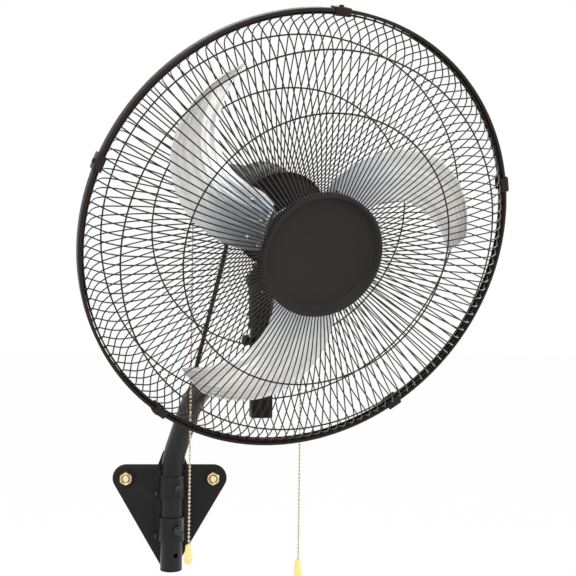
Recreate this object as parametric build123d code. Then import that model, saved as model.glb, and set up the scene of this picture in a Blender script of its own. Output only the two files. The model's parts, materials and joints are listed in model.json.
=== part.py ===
from build123d import *
import math
import os

os.makedirs("parts", exist_ok=True)

# Wall mounted oscillating fan, in millimetres. The wall is the plane y = 0 and the fan faces -y.
# The origin is the middle of the wall plate's two bolts, on the back face of the plate.

# ---- overall placing
post_reach = 277.0        # wall to the axis of the upright post, with the arm set straight
arm_yaw = 26.1            # how far the arm is turned in its clamps, degrees
clamp_side = 4.0          # clamps' middle beside the plate's middle
pivot_height = 285.0      # tilt pivot above the wall bolts
head_tilt = 20.7          # how far the head looks down, degrees
head_yaw = -7.6           # how far the head is turned on its spindle, degrees
axis_height = 88.4        # fan axis above the tilt pivot, along the spindle
axis_offset = 8.3         # fan axis beside the spindle
rim_ahead = 116.0         # guard's rim plane in front of the spindle

# ---- guards and rim
rim_radius = 248.0
rim_depth = 12.4
rim_flange = 6.5
rim_wall = 1.0
rim_foot = 7.5            # where a wire turns into the rim channel, inside the rim's radius
rim_end = 2.8             # where a wire ends, inside the rim's radius
rim_ring = 4.2            # ring at the rim, inside the rim's radius
wire_radius = 0.9
ring_radius = 1.2
weld = 0.15               # how far a wire sinks into the ring it is welded to
wire_count = 132
rear_wire_start = 52.0    # radius where the wires leave the centre plates
front_wire_start = 64.8
guard_split = 3.9         # end of the wires, before and behind the rim plane
front_hub_height = 48.6
front_crown = (129.0, 51.8)
front_shoulder = (222.3, 35.0)
rear_hub_height = 76.0
rear_crown = (149.0, 72.5)
rear_shoulder = (224.5, 45.6)
wire_bends = (200.0, 40.0, 4.2)
foot_height = 4.6
front_rings = (150.3, 211.5)
rear_rings = (154.0, 214.5)
plate_radius = 57.0
plate_wall = 1.2
clip_count = 5
clip_angle = 93.2
clip_length = 17.0
clip_wall = 1.6
clip_hold = 7.2           # how far a clip reaches in over the rim
clip_play = 0.1
clip_screw = (2.6, 2.0)   # radius and height of the screw head on a clip
cap_radius = 67.8
cap_height = 53.0
cap_lip = 3.6             # flat lip around the cap
cap_slope = 4.6           # width of the dish's sloping side
cap_sink = 8.6            # depth of the dish
cap_wall = 1.6
cap_edge = 0.8            # chamfer around the cap's face
cap_skirt = 1.4           # from the wires' fronts to the cap's lower edge
pan_wall = 1.4
pan_inset = 0.6           # pan's rim inside the cap's radius
nut_groove = (28.6, 1.8)  # middle and radius of the finger grooves in the guard nut
nut_outer = 28.0
nut_length = 8.0
plate_dish = (34.0, 40.0)  # radii where the rear plate's cone starts and ends

# ---- blades and rotor
blade_count = 3
blade_wall = 1.2
blade_front = -6.0        # trailing edge, from the rim plane
blade_back = -30.0        # leading edge, from the rim plane
blade_belly = 2.0         # how far the middle of a blade bulges forward
blade_root_back = -26.0   # leading edge at the root
blade_twist_end = 106.0   # radius where the leading edge reaches its full depth
# leading radius and angle, trailing radius and angle, from the root to the tip
blade_stations = ((46, 137.0, 46, 199.0), (62, 138.5, 60, 196.0), (85, 143.5, 85, 189.5),
                  (108, 144.5, 110, 181.5), (130, 142.0, 135, 174.0), (150, 137.5, 158, 165.5),
                  (167, 132.0, 178, 157.0), (182, 126.0, 193, 147.0), (192, 121.5, 202, 137.0),
                  (200, 118.0, 206, 126.0))
spider_wall = 2.5
spider_radius = 30.0
spider_hub_step = 0.4     # how much thicker the hub disc is than its arms, on each face
spider_arm = 72.0
nut_radius = 14.0         # closed nut in front of the hub
nut_skirt = 12.0
spider_collar = (10.0, 18.0)   # radius and top of the collar on the shaft, above the hub's underside
spider_behind = 8.0       # hub's underside behind the blades' leading edges
arm_slope = 1.16          # how much thicker a sloping arm is along the axis than across itself
shaft_radius = 4.0
running_gap = 0.03
rivet_radius = 3.0
rivet_stem = 1.8
rivet_sink = 0.2          # how far a rivet's dome sinks into the blade
rivet_tail = (2.2, 0.7)   # lower and upper end of its tail, under the arm
rivet_spots = ((70.9, 150.7), (53.7, 165.6), (65.9, 183.4), (53.5, 192.0))

# ---- motor and gearbox
motor_radius = 49.6
motor_wall = 2.0
motor_front = 36.5
motor_back = -51.0
motor_split = 24.0
motor_edge = 5.0          # chamfer around the motor's ends
vent_count = 12
front_vent = (36.0, 11.0, 3.6)   # radius of the ring of slots, slot length and width
rear_vent = (8.0, 3.0, 12.0)     # slot depth, width round the shell and length along it
nose_radius = 16.0
nose_length = 16.0
bearing_radius = 11.0
bearing_width = 8.0
stator_half = 15.0
stator_middle = -1.0
stator_bore = 24.0
air_gap = 0.5
winding_radius = 41.0
winding_length = 10.0
gearbox_width = 66.0
gearbox_height = 62.0
gearbox_drop = 1.0
gearbox_depth = 38.0
gearbox_wall = 2.5
gearbox_corner = 10.0
cover_wall = 3.0
cover_step = 11.0         # margin around the raised middle of the cover
case_screw = 1.6
case_screw_head = (3.2, 1.8)
case_screw_inset = 6.0
screw_pillar = (3.4, 12.0)   # radius and length
crank_side = 15.0
crank_back = -70.0
crank_radius = 12.6
crank_disc = 16.6
worm_radius = 5.8
gear_teeth = 20
gear_width = 9.0
tooth_height = 1.6
crank_pin = 2.5
crank_disc_wall = 4.0
seat_gap = 0.3
crank_shaft = 4.0
rod_drop = 54.0           # top of the steering rod below the fan axis

# ---- neck, post and arm
spindle_radius = 6.5
boss_radius = 10.5
tongue_width = 13.7
eye_radius = 13.0
pin_radius = 4.0
anchor_reach = 22.0
anchor_pin = 4.0
fork_wall = 6.2
pin_play = 0.06
tilt_head = 13.0          # across flats
tilt_washer = (8.0, 1.2)
wing_size = (4.0, 26.0, 6.0)
boss_drop = 70.4          # underside of the spindle boss below the fan axis
rod_width = 7.0
rod_wall = 3.0
post_radius = 14.5
post_wall = 2.0
collar_radius = 17.5
collar_low = 228.0
collar_high = 247.0
collar_neck = 1.5         # depth of the collar's waist
collar_floor = 6.0        # from its lower edge to the post's end
spigot_radius = 5.9
thumb_screw_height = 212.5
thumb_screw = (2.4, 5.5, 6.5)    # stem radius, grip radius and grip length
thumb_screw_stand = 4.0
socket_low = 119.0
socket_high = 203.0
socket_width = 25.5
socket_depth = 22.0
socket_turn = -20.0
socket_corner = 2.0
joint_depth = 15.0        # post axis to the flat joint with the arm
joint_rim = 2.5           # round seat's edge around the arm
joint_drop = 2.3          # round seat's top below the socket's top
tube_radius = 15.5
tube_wall = 2.0
tube_stand = 1.5          # between the arm and the wall plate
tube_low = -125.0
tube_low_bend = 30.0      # height of the lower bend
tube_high_bend = (-95.0, 135.0)
tube_bends = (68.0, 115.0)
tube_rise = 4.3           # end of the arm's axis above the joint's middle
tube_run_on = 10.0        # how far the arm's axis runs on past its cut
tube_hole = (3.2, -104.6)    # radius and height of the small hole near the foot
plug_play = 0.1
plug_depth = 8.0
plug_cap = 2.5

# ---- wall plate and bracket
plate_thick = 3.0
bolt_spacing = 124.5
bolt_radius = 5.0
bolt_reach = 22.0
bolt_neck = 5.4           # where the bolt passes the plate
bolt_hole = 5.5
bolt_end = 10.4           # front of the bolt, from the plate
nut_across = 17.0
nut_low = 1.7
nut_high = 9.4
nut_dish = (6.9, 1.1)     # radius and depth of the hollow in a nut's face
washer_radius = 11.2
washer_wall = 1.5
plate_corner = 19.6
plate_foot = -119.5
plate_foot_radius = 13.5
bracket_width = 53.0
bracket_wall = 1.2
bracket_low = -90.0
bracket_high = 19.0
bracket_corner = 6.0
horn_foot = 23.5          # outer side of a horn where it leaves the strip, from the arm's axis
horn_base = 7.0           # its width there
horn_tip = (13.9, 39.5)   # outer side and height of its tip
horn_wall = 1.6
horn_depth = 3.0
band_wall = 2.6
band_play = 0.05
bands = ((-24.9, 7.4), (-85.4, -51.3))
ear_height = 10.0
ear_reach = 26.0
rivet_heights = (-22.3, -83.0)
rivet_side = 22.6
ear_rivet = (2.0, 3.2, 2.0)   # stem radius, head radius and head height
rivet_play = 0.05
band_screw = 3.0
flat_screw = (4.6, 2.0, 1.0, 1.2)    # head radius and height, slot width and depth
stand_screw = (10.0, 6.4, 6.3, 7.5, 13.5)  # across flats, collar radius, collar from and to, head's end

# ---- switches, chains and lead
bead_radius = 1.55
speed_chain_side = 64.5   # from the box's inner side
speed_chain_rise = 4.0    # chain's upper end above the box's floor
speed_knob_top = -72.3
turning_knob_top = -41.0
knob_height = 23.0
knob_radius = 5.5
knob_neck = 0.66          # shares of the knob's radius at its top and at its foot
knob_foot = 0.74
knob_belly = 0.72         # share of its height where it is widest, from the top
lever_end = (-70.1, -12.3, -80.0)
lever_root = -36.0
lever_width = 6.0
lever_wall = 2.4
lever_boss = 5.0
lever_hole = 2.0
box_width = 73.2
box_depth = 24.0
box_tall = 50.0
box_drop = 15.0           # box's floor below the end of the arm
box_behind = 28.0         # box's front behind the post's axis
box_corner = 3.0
box_wall = 2.0
box_screw = (2.5, 8.0, 4.0)   # stem radius, head across flats and head height
box_screw_spot = (39.0, -8.0)   # behind the post's axis and above the end of the arm
spout = (4.5, 6.0)        # radius and drop of the chain's spout
drum_radius = 13.0
drum_width = 14.0
drum_pin_radius = 2.0
capacitor_size = (12.0, 20.0, 24.0)
lead_radius = 2.9
lead_points = ((-19.6, -218.0, 325.0), (-2.5, -100.7, 169.0))
lead_gland = (-20.0, -66.0)   # where the lead leaves the gearbox, beside and behind the spindle
gland_neck = 4.0
gland_flange = 2.0        # how much wider the gland's flange is than its neck
gland_length = 3.4
cord_play = 0.1           # round the lead in its grommets
lead_share = 0.45         # of the shorter run beside a bend, taken by the bend
grommet_spot = (-2.5, -92.7, 138.4)
grommet_lean = 14.6       # how far the grommet leans away from the wall, degrees
grommet_neck = 5.0
grommet_flange = 1.2
grommet_low = -9.0
grommet_rise = 2.9        # grommet's top above the arm's skin
eye_size = 5.0
eye_wire = 0.9

# ---- frames
tube_depth = plate_thick + tube_stand + tube_radius    # arm's upright foot, from the wall
joint_height = socket_high - joint_drop - tube_radius - joint_rim
tube_end_height = joint_height + tube_rise
grommet_top = tube_radius + grommet_rise
# everything from the arm on is drawn in the plane x = 0 and then turned in the clamps
clamps = Pos(clamp_side, -tube_depth, 0)
arm_place = clamps * Rot(0, 0, arm_yaw) * Pos(0, tube_depth, 0)
tilt_turn = Location((0, -post_reach, pivot_height), (head_tilt, 0, 0))
spindle = tilt_turn * Location((0, 0, 0), (0, 0, head_yaw))
# local x is the fan's right side, y is up along the spindle and z is the way the fan blows
head = spindle * Location((-axis_offset, 0, axis_height), (90, 0, 0))
post = Location((0, -post_reach, 0))


def save(name, *shapes):
    solids = [s for shape in shapes for s in shape.solids()]
    export_step(Compound(children=solids) if len(solids) > 1 else solids[0], f"parts/{name}.step")


def save_on_arm(name, *shapes):
    save(name, *[arm_place * shape for shape in shapes])


def turned(*points):
    """A solid turned about z from (radius, height) points."""
    outline = Polyline(*[(r, 0, h) for r, h in points], close=True)
    return revolve(make_face(outline), Axis.Z)


def rod(radius, low, high, x=0.0, y=0.0):
    return Pos(x, y, (low + high) / 2) * Cylinder(radius, high - low)


def sleeve(outer, inner, low, high):
    return turned((inner, low), (outer, low), (outer, high), (inner, high))


def polar(radius, angle):
    return radius * math.cos(math.radians(angle)), radius * math.sin(math.radians(angle))


def hexagon(across, low, high):
    return Pos(0, 0, low) * extrude(RegularPolygon(across / 2, 6, major_radius=False), high - low)


# ---- wall plate, bolts and bracket
def wall_plate():
    corners = [(-bolt_spacing / 2, 0, plate_corner), (bolt_spacing / 2, 0, plate_corner),
               (0, plate_foot, plate_foot_radius)]
    face = make_hull([Pos(x, z) * CenterArc((0, 0), r, 0, 360) for x, z, r in corners])
    for x in (-bolt_spacing / 2, bolt_spacing / 2):
        face -= Pos(x, 0) * Circle(bolt_hole)
    for x, z in rivet_places():
        face -= Pos(clamp_side + x, z) * Circle(ear_rivet[0] + rivet_play)
    return Rot(90, 0, 0) * extrude(face, plate_thick)


def bolt_place(side):
    return Location((side * bolt_spacing / 2, -plate_thick, 0), (90, 0, 0))


def wall_bolt(side):
    """Stud through the plate with a hex nut on its front, and the thread that goes into the wall."""
    neck = rod(bolt_neck, -plate_thick, nut_low)
    thread = rod(bolt_radius, -plate_thick - bolt_reach, -plate_thick)
    dish_radius, dish_depth = nut_dish
    nut = Rot(0, 0, 30) * hexagon(nut_across, nut_low, nut_high)
    cone = turned((0, nut_low), (nut_across * 0.62, nut_low), (nut_across * 0.62, nut_high - 2.2),
                  (nut_across * 0.47, nut_high), (dish_radius, nut_high), (bolt_radius, nut_high - dish_depth),
                  (0, nut_high - dish_depth))
    end = turned((0, nut_low), (bolt_radius - 0.4, nut_low), (bolt_radius - 0.4, bolt_end - 1.0),
                 (bolt_radius - 1.4, bolt_end), (0, bolt_end))
    return bolt_place(side) * (neck + thread + (nut & cone) + end)


def bolt_washer(side):
    return bolt_place(side) * sleeve(washer_radius, bolt_neck + 0.1, 0, washer_wall)


def rivet_places():
    return [(side * rivet_side, z) for side in (-1, 1) for z in rivet_heights]


def arm_bracket():
    """Backing strip with two small horns that lean in towards the arm."""
    tall = bracket_high - bracket_low
    strip = Pos(0, (bracket_low + bracket_high) / 2) * RectangleRounded(bracket_width, tall, bracket_corner)
    for x, z in rivet_places():
        strip -= Pos(x, z) * Circle(ear_rivet[0] + rivet_play)
    body = extrude(strip, bracket_wall)
    tip, top = horn_tip
    foot = bracket_high - bracket_corner
    for side in (-1, 1):
        outline = Polyline(*[(side * x, z) for x, z in (
            (horn_foot, foot), (tip, top), (tip - horn_wall, top), (horn_foot - horn_base, foot))], close=True)
        body += extrude(make_face(outline), horn_depth)
    return Pos(clamp_side, -plate_thick, 0) * Rot(90, 0, 0) * body


def ear_rivets():
    """Round headed rivets through each band's ears, the strip and the plate."""
    stem, head_radius, head_height = ear_rivet
    face = plate_thick + bracket_wall + band_play + band_wall
    ball = (head_radius ** 2 + head_height ** 2) / (2 * head_height)
    dome = Pos(0, 0, face + head_height - ball) * Sphere(ball) & rod(head_radius, face, face + head_height)
    rivet = rod(stem, rivet_play, face) + dome
    return [Location((clamp_side + x, 0, z), (90, 0, 0)) * rivet for x, z in rivet_places()]


def clamp_bands():
    """Straps around the front of the arm, with an ear on each side of it."""
    inner = tube_radius + band_play
    outer = inner + band_wall
    ear_back = plate_thick + bracket_wall + band_play
    leg = tube_depth - ear_back
    out = []
    for (low, high), rivet in zip(bands, rivet_heights):
        middle, tall = (low + high) / 2, high - low
        strap = sleeve(outer, inner, low, high)
        strap -= Pos(0, outer, middle) * Box(2 * outer + 2, 2 * outer, tall + 2)
        for side in (-1, 1):
            strap += Pos(side * (inner + outer) / 2, leg / 2, middle) * Box(band_wall, leg, tall)
            ear = Pos(side * (inner + ear_reach) / 2, leg - band_wall / 2, rivet) * Box(
                ear_reach - inner, band_wall, ear_height)
            hole = Location((side * rivet_side, leg, rivet), (90, 0, 0))
            strap += ear - hole * Cylinder(ear_rivet[0] + rivet_play, 3 * band_wall)
        screw = Rot(0, 0, arm_yaw) * Location((0, -inner, middle), (90, 0, 0))
        out.append(clamps * (strap - screw * Cylinder(band_screw + rivet_play, 4 * band_wall)))
    return out


def clamp_screws():
    """A low screw in the upper band and a standing hex screw in the lower one."""
    upper, lower = [(low + high) / 2 for low, high in bands]
    head_radius, head_height, slot_width, slot_depth = flat_screw
    head_low = band_wall + band_play + 0.05
    low_screw = rod(band_screw, 0.1, head_low) + rod(head_radius, head_low, head_low + head_height)
    low_screw -= Pos(0, 0, head_low + head_height) * Box(slot_width, 2 * head_radius + 1, 2 * slot_depth)
    across, collar, collar_from, collar_to, end = stand_screw
    tall = rod(band_screw, 0.1, collar_to) + hexagon(across, collar_to, end) + rod(collar, collar_from, collar_to)
    return [arm_place * Location((0, -tube_depth - tube_radius, z), (90, 0, 0)) * screw
            for z, screw in ((upper, low_screw), (lower, tall))]


def arm_path():
    """The arm's axis runs on past the cut where it meets the post."""
    end = (-post_reach + joint_depth - tube_run_on, tube_end_height)
    points = [(0, y, z) for y, z in ((-tube_depth, tube_low), (-tube_depth, tube_low_bend), tube_high_bend, end)]
    return FilletPolyline(*points, radius=list(tube_bends))


def grommet_place():
    return Location(grommet_spot, (grommet_lean, 0, 0))


def arm_tube():
    """Bent tube, cut square to the post at its upper end."""
    path = arm_path()
    mouth = Plane(origin=path @ 0, z_dir=path % 0)
    body = sweep(mouth * (Circle(tube_radius) - Circle(tube_radius - tube_wall)), path=path)
    cut = 3 * tube_radius
    body -= Pos(0, -post_reach + joint_depth + 0.05 - cut / 2, tube_end_height) * Box(2 * cut, cut, 2 * cut)
    hole_radius, hole_height = tube_hole
    small_hole = Location((0, -tube_depth - tube_radius, hole_height), (90, 0, 0))
    body -= small_hole * Cylinder(hole_radius, 4 * tube_wall)
    body -= grommet_place() * rod(grommet_neck + 0.1, -tube_radius, grommet_top)
    screw = Location((tube_radius, *box_screw_yz()), (0, 90, 0))
    return body - screw * Cylinder(box_screw[0] + 0.1, 4 * tube_wall)


def tube_plug():
    inside = tube_radius - tube_wall - plug_play
    plug = rod(inside, tube_low - plug_play, tube_low + plug_depth)
    plug += rod(tube_radius, tube_low - plug_play - plug_cap, tube_low - plug_play)
    return Pos(0, -tube_depth, 0) * plug


# ---- post, fork and tilt pin
def arm_socket():
    """Square foot of the post with the round seat that the arm ends on."""
    block = Pos(0, 0, (socket_low + socket_high) / 2) * Rot(0, 0, socket_turn) * Box(
        socket_width, socket_depth, socket_high - socket_low)
    block = fillet(block.edges().filter_by(Axis.Z), socket_corner)
    seat = Pos(0, joint_depth / 2, joint_height) * Rot(90, 0, 0) * Cylinder(tube_radius + joint_rim, joint_depth)
    return post * (block + seat)


def post_tube():
    tube = post * sleeve(post_radius, post_radius - post_wall, socket_high + 0.05, collar_low + collar_floor)
    return tube - thumb_place() * rod(thumb_screw[0] + 0.1, post_radius - 2 * post_wall, post_radius + 1)


def thumb_place():
    return Location((0, -post_reach, thumb_screw_height), (0, -90, 0))


def post_collar():
    bore, waist = post_radius + 0.05, collar_radius - collar_neck
    top, floor = collar_high - 0.1, collar_low + collar_floor + 0.2
    ring = turned((bore, collar_low), (collar_radius, collar_low), (collar_radius, collar_low + 5),
                  (waist, collar_low + 5 + collar_neck), (waist, collar_high - 5 - collar_neck),
                  (collar_radius, collar_high - 5), (collar_radius, top),
                  (spigot_radius + 0.1, top), (spigot_radius + 0.1, floor), (bore, floor))
    return post * ring


def set_screw():
    """Thumb screw in the post's left side."""
    stem, grip, length = thumb_screw
    low = post_radius + thumb_screw_stand
    knob = rod(stem, post_radius - post_wall + 0.1, low) + rod(grip, low, low + length)
    for angle in range(0, 360, 30):
        knob += Rot(0, 0, angle) * Pos(grip, 0, low + length / 2) * Cylinder(0.9, length - 0.9)
    return thumb_place() * knob


def fork_gap():
    return tongue_width / 2 + seat_gap


def tilt_fork():
    base_top = pivot_height - eye_radius - 2.0
    shoulder = post_radius + 1.5
    base = turned((0, collar_high), (shoulder, collar_high), (shoulder, base_top - 4),
                  (post_radius, base_top), (0, base_top))
    body = base + rod(spigot_radius, collar_low + collar_floor + 2.0, collar_high)
    for side in (-1, 1):
        cheek_x = side * (fork_gap() + fork_wall / 2)
        body += Pos(cheek_x, 0, pivot_height) * Rot(0, 90, 0) * Cylinder(eye_radius, fork_wall)
        body += Pos(cheek_x, 0, (base_top - 3 + pivot_height) / 2) * Box(
            fork_wall, 2 * eye_radius - 3.0, pivot_height - base_top + 3)
    body -= Pos(0, 0, pivot_height) * Rot(0, 90, 0) * Cylinder(pin_radius + pin_play, 4 * eye_radius)
    return post * body


def tilt_bolt():
    """Bolt, washers and wing nut that clamp the fork on the tongue."""
    face = fork_gap() + fork_wall
    washer_outer, wall = tilt_washer
    far = face + 0.1 + wall
    nut_end = far + 6.7
    bolt = rod(pin_radius, -far, nut_end) + hexagon(tilt_head, -far - 5.0, -far)
    washers = rod(washer_outer, -far, -face - 0.1) + rod(washer_outer, face + 0.1, far)
    wing = Pos(0, 0, nut_end - wing_size[2] / 2 + 0.5) * Box(*wing_size)
    wing = fillet(wing.edges().filter_by(Axis.X), 2.2)
    nut = rod(pin_radius + 2.5, far, nut_end) + wing
    return Location((0, -post_reach, pivot_height), (0, 90, 0)) * (bolt + washers + nut)


# ---- neck: the tilting bracket with the spindle
def neck_flange():
    return eye_radius + 1.0, axis_height - boss_drop - 0.4


def spindle_top():
    """Top of the spindle above the tilt pivot, just under the blind end of its bore."""
    return axis_height - motor_radius - 1.2


def rod_low():
    return axis_height - rod_drop - rod_wall


def neck_bracket():
    low, high = neck_flange()
    eye = Rot(0, 90, 0) * Cylinder(eye_radius, tongue_width)
    web = Pos(0, 0, low / 2) * Box(tongue_width, 2 * eye_radius - 6.0, low)
    body = eye + web + rod(post_radius + 1.5, low, high) + rod(spindle_radius, high, spindle_top())
    body -= Rot(0, 90, 0) * Cylinder(pin_radius + pin_play, 4 * eye_radius)
    ear_radius = anchor_pin + 0.5
    ear = Pos(anchor_reach / 2, 0, (low + high) / 2) * Box(anchor_reach, 2 * ear_radius, high - low)
    ear += rod(ear_radius, low, high, anchor_reach)
    pin = rod(anchor_pin, high, rod_low() - seat_gap, anchor_reach)
    pin += rod(crank_pin, high, rod_low() + rod_wall + 1.5, anchor_reach)
    return tilt_turn * body + spindle * (ear + pin)


def link_rod():
    """Steering rod from the neck's pin back to the crank."""
    start = (anchor_reach, 0)
    end = (crank_side - axis_offset + crank_radius, -crank_back)
    ends = [Pos(*spot) * CenterArc((0, 0), rod_width / 2, 0, 360) for spot in (start, end)]
    bar = make_hull(ends)
    bar -= Pos(*start) * Circle(crank_pin + running_gap)
    bar -= Pos(*end) * Circle(crank_pin + 0.1)
    return spindle * Pos(0, 0, rod_low()) * extrude(bar, rod_wall)


# ---- motor
def nose_front():
    return motor_front + nose_length


def motor_front_shell():
    r, w, face = motor_radius, motor_wall, motor_front
    seat = nose_front() - bearing_width - 2.0
    edge, hub = motor_edge, nose_radius + 10
    shell = turned((r, motor_split), (r, face - 2 * edge), (r - edge, face - 4), (hub, face + w),
                   (nose_radius, face + w), (nose_radius, nose_front()), (bearing_radius, nose_front()),
                   (bearing_radius, seat), (shaft_radius + 3, seat), (shaft_radius + 3, face - 1),
                   (hub, face - 1), (r - edge - 1.4, face - 5.8), (r - w, face - 2 * edge - 1), (r - w, motor_split))
    ring, length, width = front_vent
    for n in range(vent_count):
        angle = 360 / vent_count * (n + 0.5)
        shell -= Pos(*polar(ring, angle), face - 3) * Rot(0, 0, angle) * Box(length, width, 14.0)
    return head * shell


def motor_rear_shell():
    r, w, back, rim = motor_radius, motor_wall, motor_back, motor_split - seat_gap
    edge, seat, hub = motor_edge, bearing_width + 2.0, bearing_radius + 2.5
    shell = turned((r, rim), (r, back + 14), (r - edge, back + edge), (30, back), (6, back), (6, back + 2),
                   (bearing_radius, back + 2), (bearing_radius, back + seat), (hub, back + seat),
                   (hub, back + 3), (29.5, back + 3), (r - edge - 1.5, back + 7), (r - w, back + 15), (r - w, rim))
    boss_top = r - 3
    boss = Pos(axis_offset, -(boss_drop + boss_top) / 2, 0) * Rot(90, 0, 0) * Cylinder(
        boss_radius, boss_drop - boss_top)
    body = shell + (boss - rod(r - w, -2 * boss_radius, 2 * boss_radius))
    bore_end = r + 0.5
    bore = Pos(axis_offset, -(boss_drop + 2 + bore_end) / 2, 0) * Rot(90, 0, 0) * Cylinder(
        spindle_radius + running_gap, boss_drop + 2 - bore_end)
    depth, width, length = rear_vent
    for n in range(vent_count - 1):
        angle = 360 / vent_count * (n - 2)
        body -= Pos(*polar(r, angle), back + 2 * length) * Rot(0, 0, angle) * Box(depth, width, length)
    return head * (body - bore)


def stator():
    low, high = stator_middle - stator_half, stator_middle + stator_half
    core = sleeve(motor_radius - motor_wall - seat_gap, stator_bore, low, high)
    windings = [sleeve(winding_radius, stator_bore + 3, high + 0.05, high + winding_length),
                sleeve(winding_radius, stator_bore + 3, low - winding_length, low - 0.05)]
    return head * core, [head * w for w in windings]


def bearings():
    inner = shaft_radius + running_gap
    outer = bearing_radius - 0.02
    front, back = nose_front() - 1.9, motor_back + 2.1
    return [head * sleeve(outer, inner, front - bearing_width, front),
            head * sleeve(outer, inner, back, back + bearing_width - 0.2)]


def gearbox_middle():
    return motor_back - seat_gap - gearbox_depth / 2


def gearbox_rear():
    return motor_back - seat_gap - gearbox_depth


def gearbox_floor():
    return gearbox_drop + gearbox_height / 2


def gearbox_block(less, depth, middle, corner):
    block = Pos(0, -gearbox_drop, middle) * Box(gearbox_width - less, gearbox_height - less, depth)
    return fillet(block.edges().filter_by(Axis.Z), corner)


def gearbox_case():
    wall, rear = gearbox_wall, gearbox_rear()
    body = gearbox_block(0, gearbox_depth, gearbox_middle(), gearbox_corner)
    body -= gearbox_block(2 * wall, gearbox_depth, gearbox_middle() - wall, gearbox_corner - wall)
    body -= rod(shaft_radius + 3, motor_back - 10, motor_back + 5)
    holes = ((crank_side, crank_back, crank_shaft + running_gap), (*lead_gland, gland_neck + 0.1))
    for x, z, radius in holes:
        body -= Pos(x, -gearbox_floor(), z) * Rot(90, 0, 0) * Cylinder(radius, 12)
    radius, length = screw_pillar
    for x, y in screw_spots():
        body += rod(radius, rear, rear + length, x, y)
        body -= rod(case_screw + 0.05, rear - 1, rear + length - 2.0, x, y)
    x, y, z = lever_end
    slot = Pos(-gearbox_width / 2, y, z) * Box(9.0, 3 * lever_width + 4, lever_wall + 2.6)
    return head * (body - slot)


def gearbox_cover():
    rear = gearbox_rear() - seat_gap
    plate = gearbox_block(0, cover_wall, rear - cover_wall / 2, gearbox_corner)
    plate += gearbox_block(2 * cover_step, cover_wall, rear - 4.0, 6.0)
    for x, y in screw_spots():
        plate -= Pos(x, y, rear) * Cylinder(case_screw + 0.2, 4 * cover_wall)
    return head * plate


def screw_spots():
    across, up = gearbox_width / 2 - case_screw_inset, gearbox_height / 2 - case_screw_inset
    return [(sx * across, sy * up - gearbox_drop) for sx in (-1, 1) for sy in (-1, 1)]


def gearbox_screws():
    """Cross slotted screws that hold the cover."""
    rear = gearbox_rear() - seat_gap
    radius, height = case_screw_head
    low = -cover_wall - 0.1
    screw = rod(radius, low - height, low) + rod(case_screw, low, 8.0)
    for width, length in ((0.8, 4.6), (4.6, 0.8)):
        screw -= Pos(0, 0, low - height + 0.3) * Box(width, length, 1.0)
    return [head * Pos(x, y, rear) * screw for x, y in screw_spots()]


# ---- oscillating gear
def crank_gear():
    """Worm gear, upright shaft and crank disc with its pin, drawn pointing down."""
    tip = crank_side - worm_radius - seat_gap
    root = tip - tooth_height
    outline = [polar(r, 360 / gear_teeth * (n + part)) for n in range(gear_teeth)
               for part, r in ((0.0, tip), (0.4, tip), (0.5, root), (0.9, root))]
    gear = Pos(0, 0, -gear_width / 2) * extrude(make_face(Polyline(*outline, close=True)), gear_width)
    disc_top = gearbox_floor() + 8.0
    disc_low = disc_top + crank_disc_wall
    body = gear + rod(crank_shaft, 7.0 - gearbox_height / 2, disc_top + 2) + rod(crank_disc, disc_top, disc_low)
    body += rod(crank_pin, disc_low, rod_drop - seat_gap, crank_radius)
    return head * Pos(crank_side, 0, crank_back) * Rot(90, 0, 0) * body


# ---- rotor
def rotor_shaft():
    return head * rod(shaft_radius, gearbox_rear() + 3, rim_ahead + 4.0)


def worm():
    pitch, turns = 2.8, 6
    low = crank_back - pitch * turns / 2
    points = [(shaft_radius, low)]
    for n in range(turns):
        start = low + n * pitch
        points += [(worm_radius, start + 0.4), (worm_radius, start + 1.4), (worm_radius - 1.2, start + 2.2)]
    points += [(shaft_radius, low + turns * pitch)]
    return head * turned(*points)


def rotor_core():
    low, high = stator_middle - stator_half, stator_middle + stator_half
    return head * sleeve(stator_bore - air_gap, shaft_radius, low, high)


def blade_point(station, share):
    """A point across one station: share is 0 on the leading edge and 1 on the trailing one."""
    lead_r, lead_angle, trail_r, trail_angle = station
    r = lead_r + (trail_r - lead_r) * share
    angle = lead_angle + (trail_angle - lead_angle) * share
    root_r = blade_stations[0][0]
    depth = min(1.0, (r - root_r) / (blade_twist_end - root_r))
    back = blade_root_back + (blade_back - blade_root_back) * depth
    rise = back + (blade_front - back) * share + blade_belly * 4 * share * (1 - share)
    return Vector(*polar(r, angle), rim_ahead + rise)


def blade_face():
    return Face.make_surface_from_array_of_points(
        [[blade_point(station, n / 6) for n in range(7)] for station in blade_stations], tol=0.05)


def blades():
    one = Solid.thicken(blade_face(), blade_wall)
    return [head * Rot(0, 0, -360 / blade_count * n) * one for n in range(blade_count)]


def root_point(r, angle, drop=0.0):
    """A point on the blade near its root, where the stations lie at one radius each."""
    for low, high in zip(blade_stations, blade_stations[1:]):
        if r <= high[0]:
            break
    t = (r - low[0]) / (high[0] - low[0])
    station = [a + (b - a) * t for a, b in zip(low, high)]
    share = (angle - station[1]) / (station[3] - station[1])
    return blade_point(station, share) - Vector(0, 0, drop)


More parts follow.
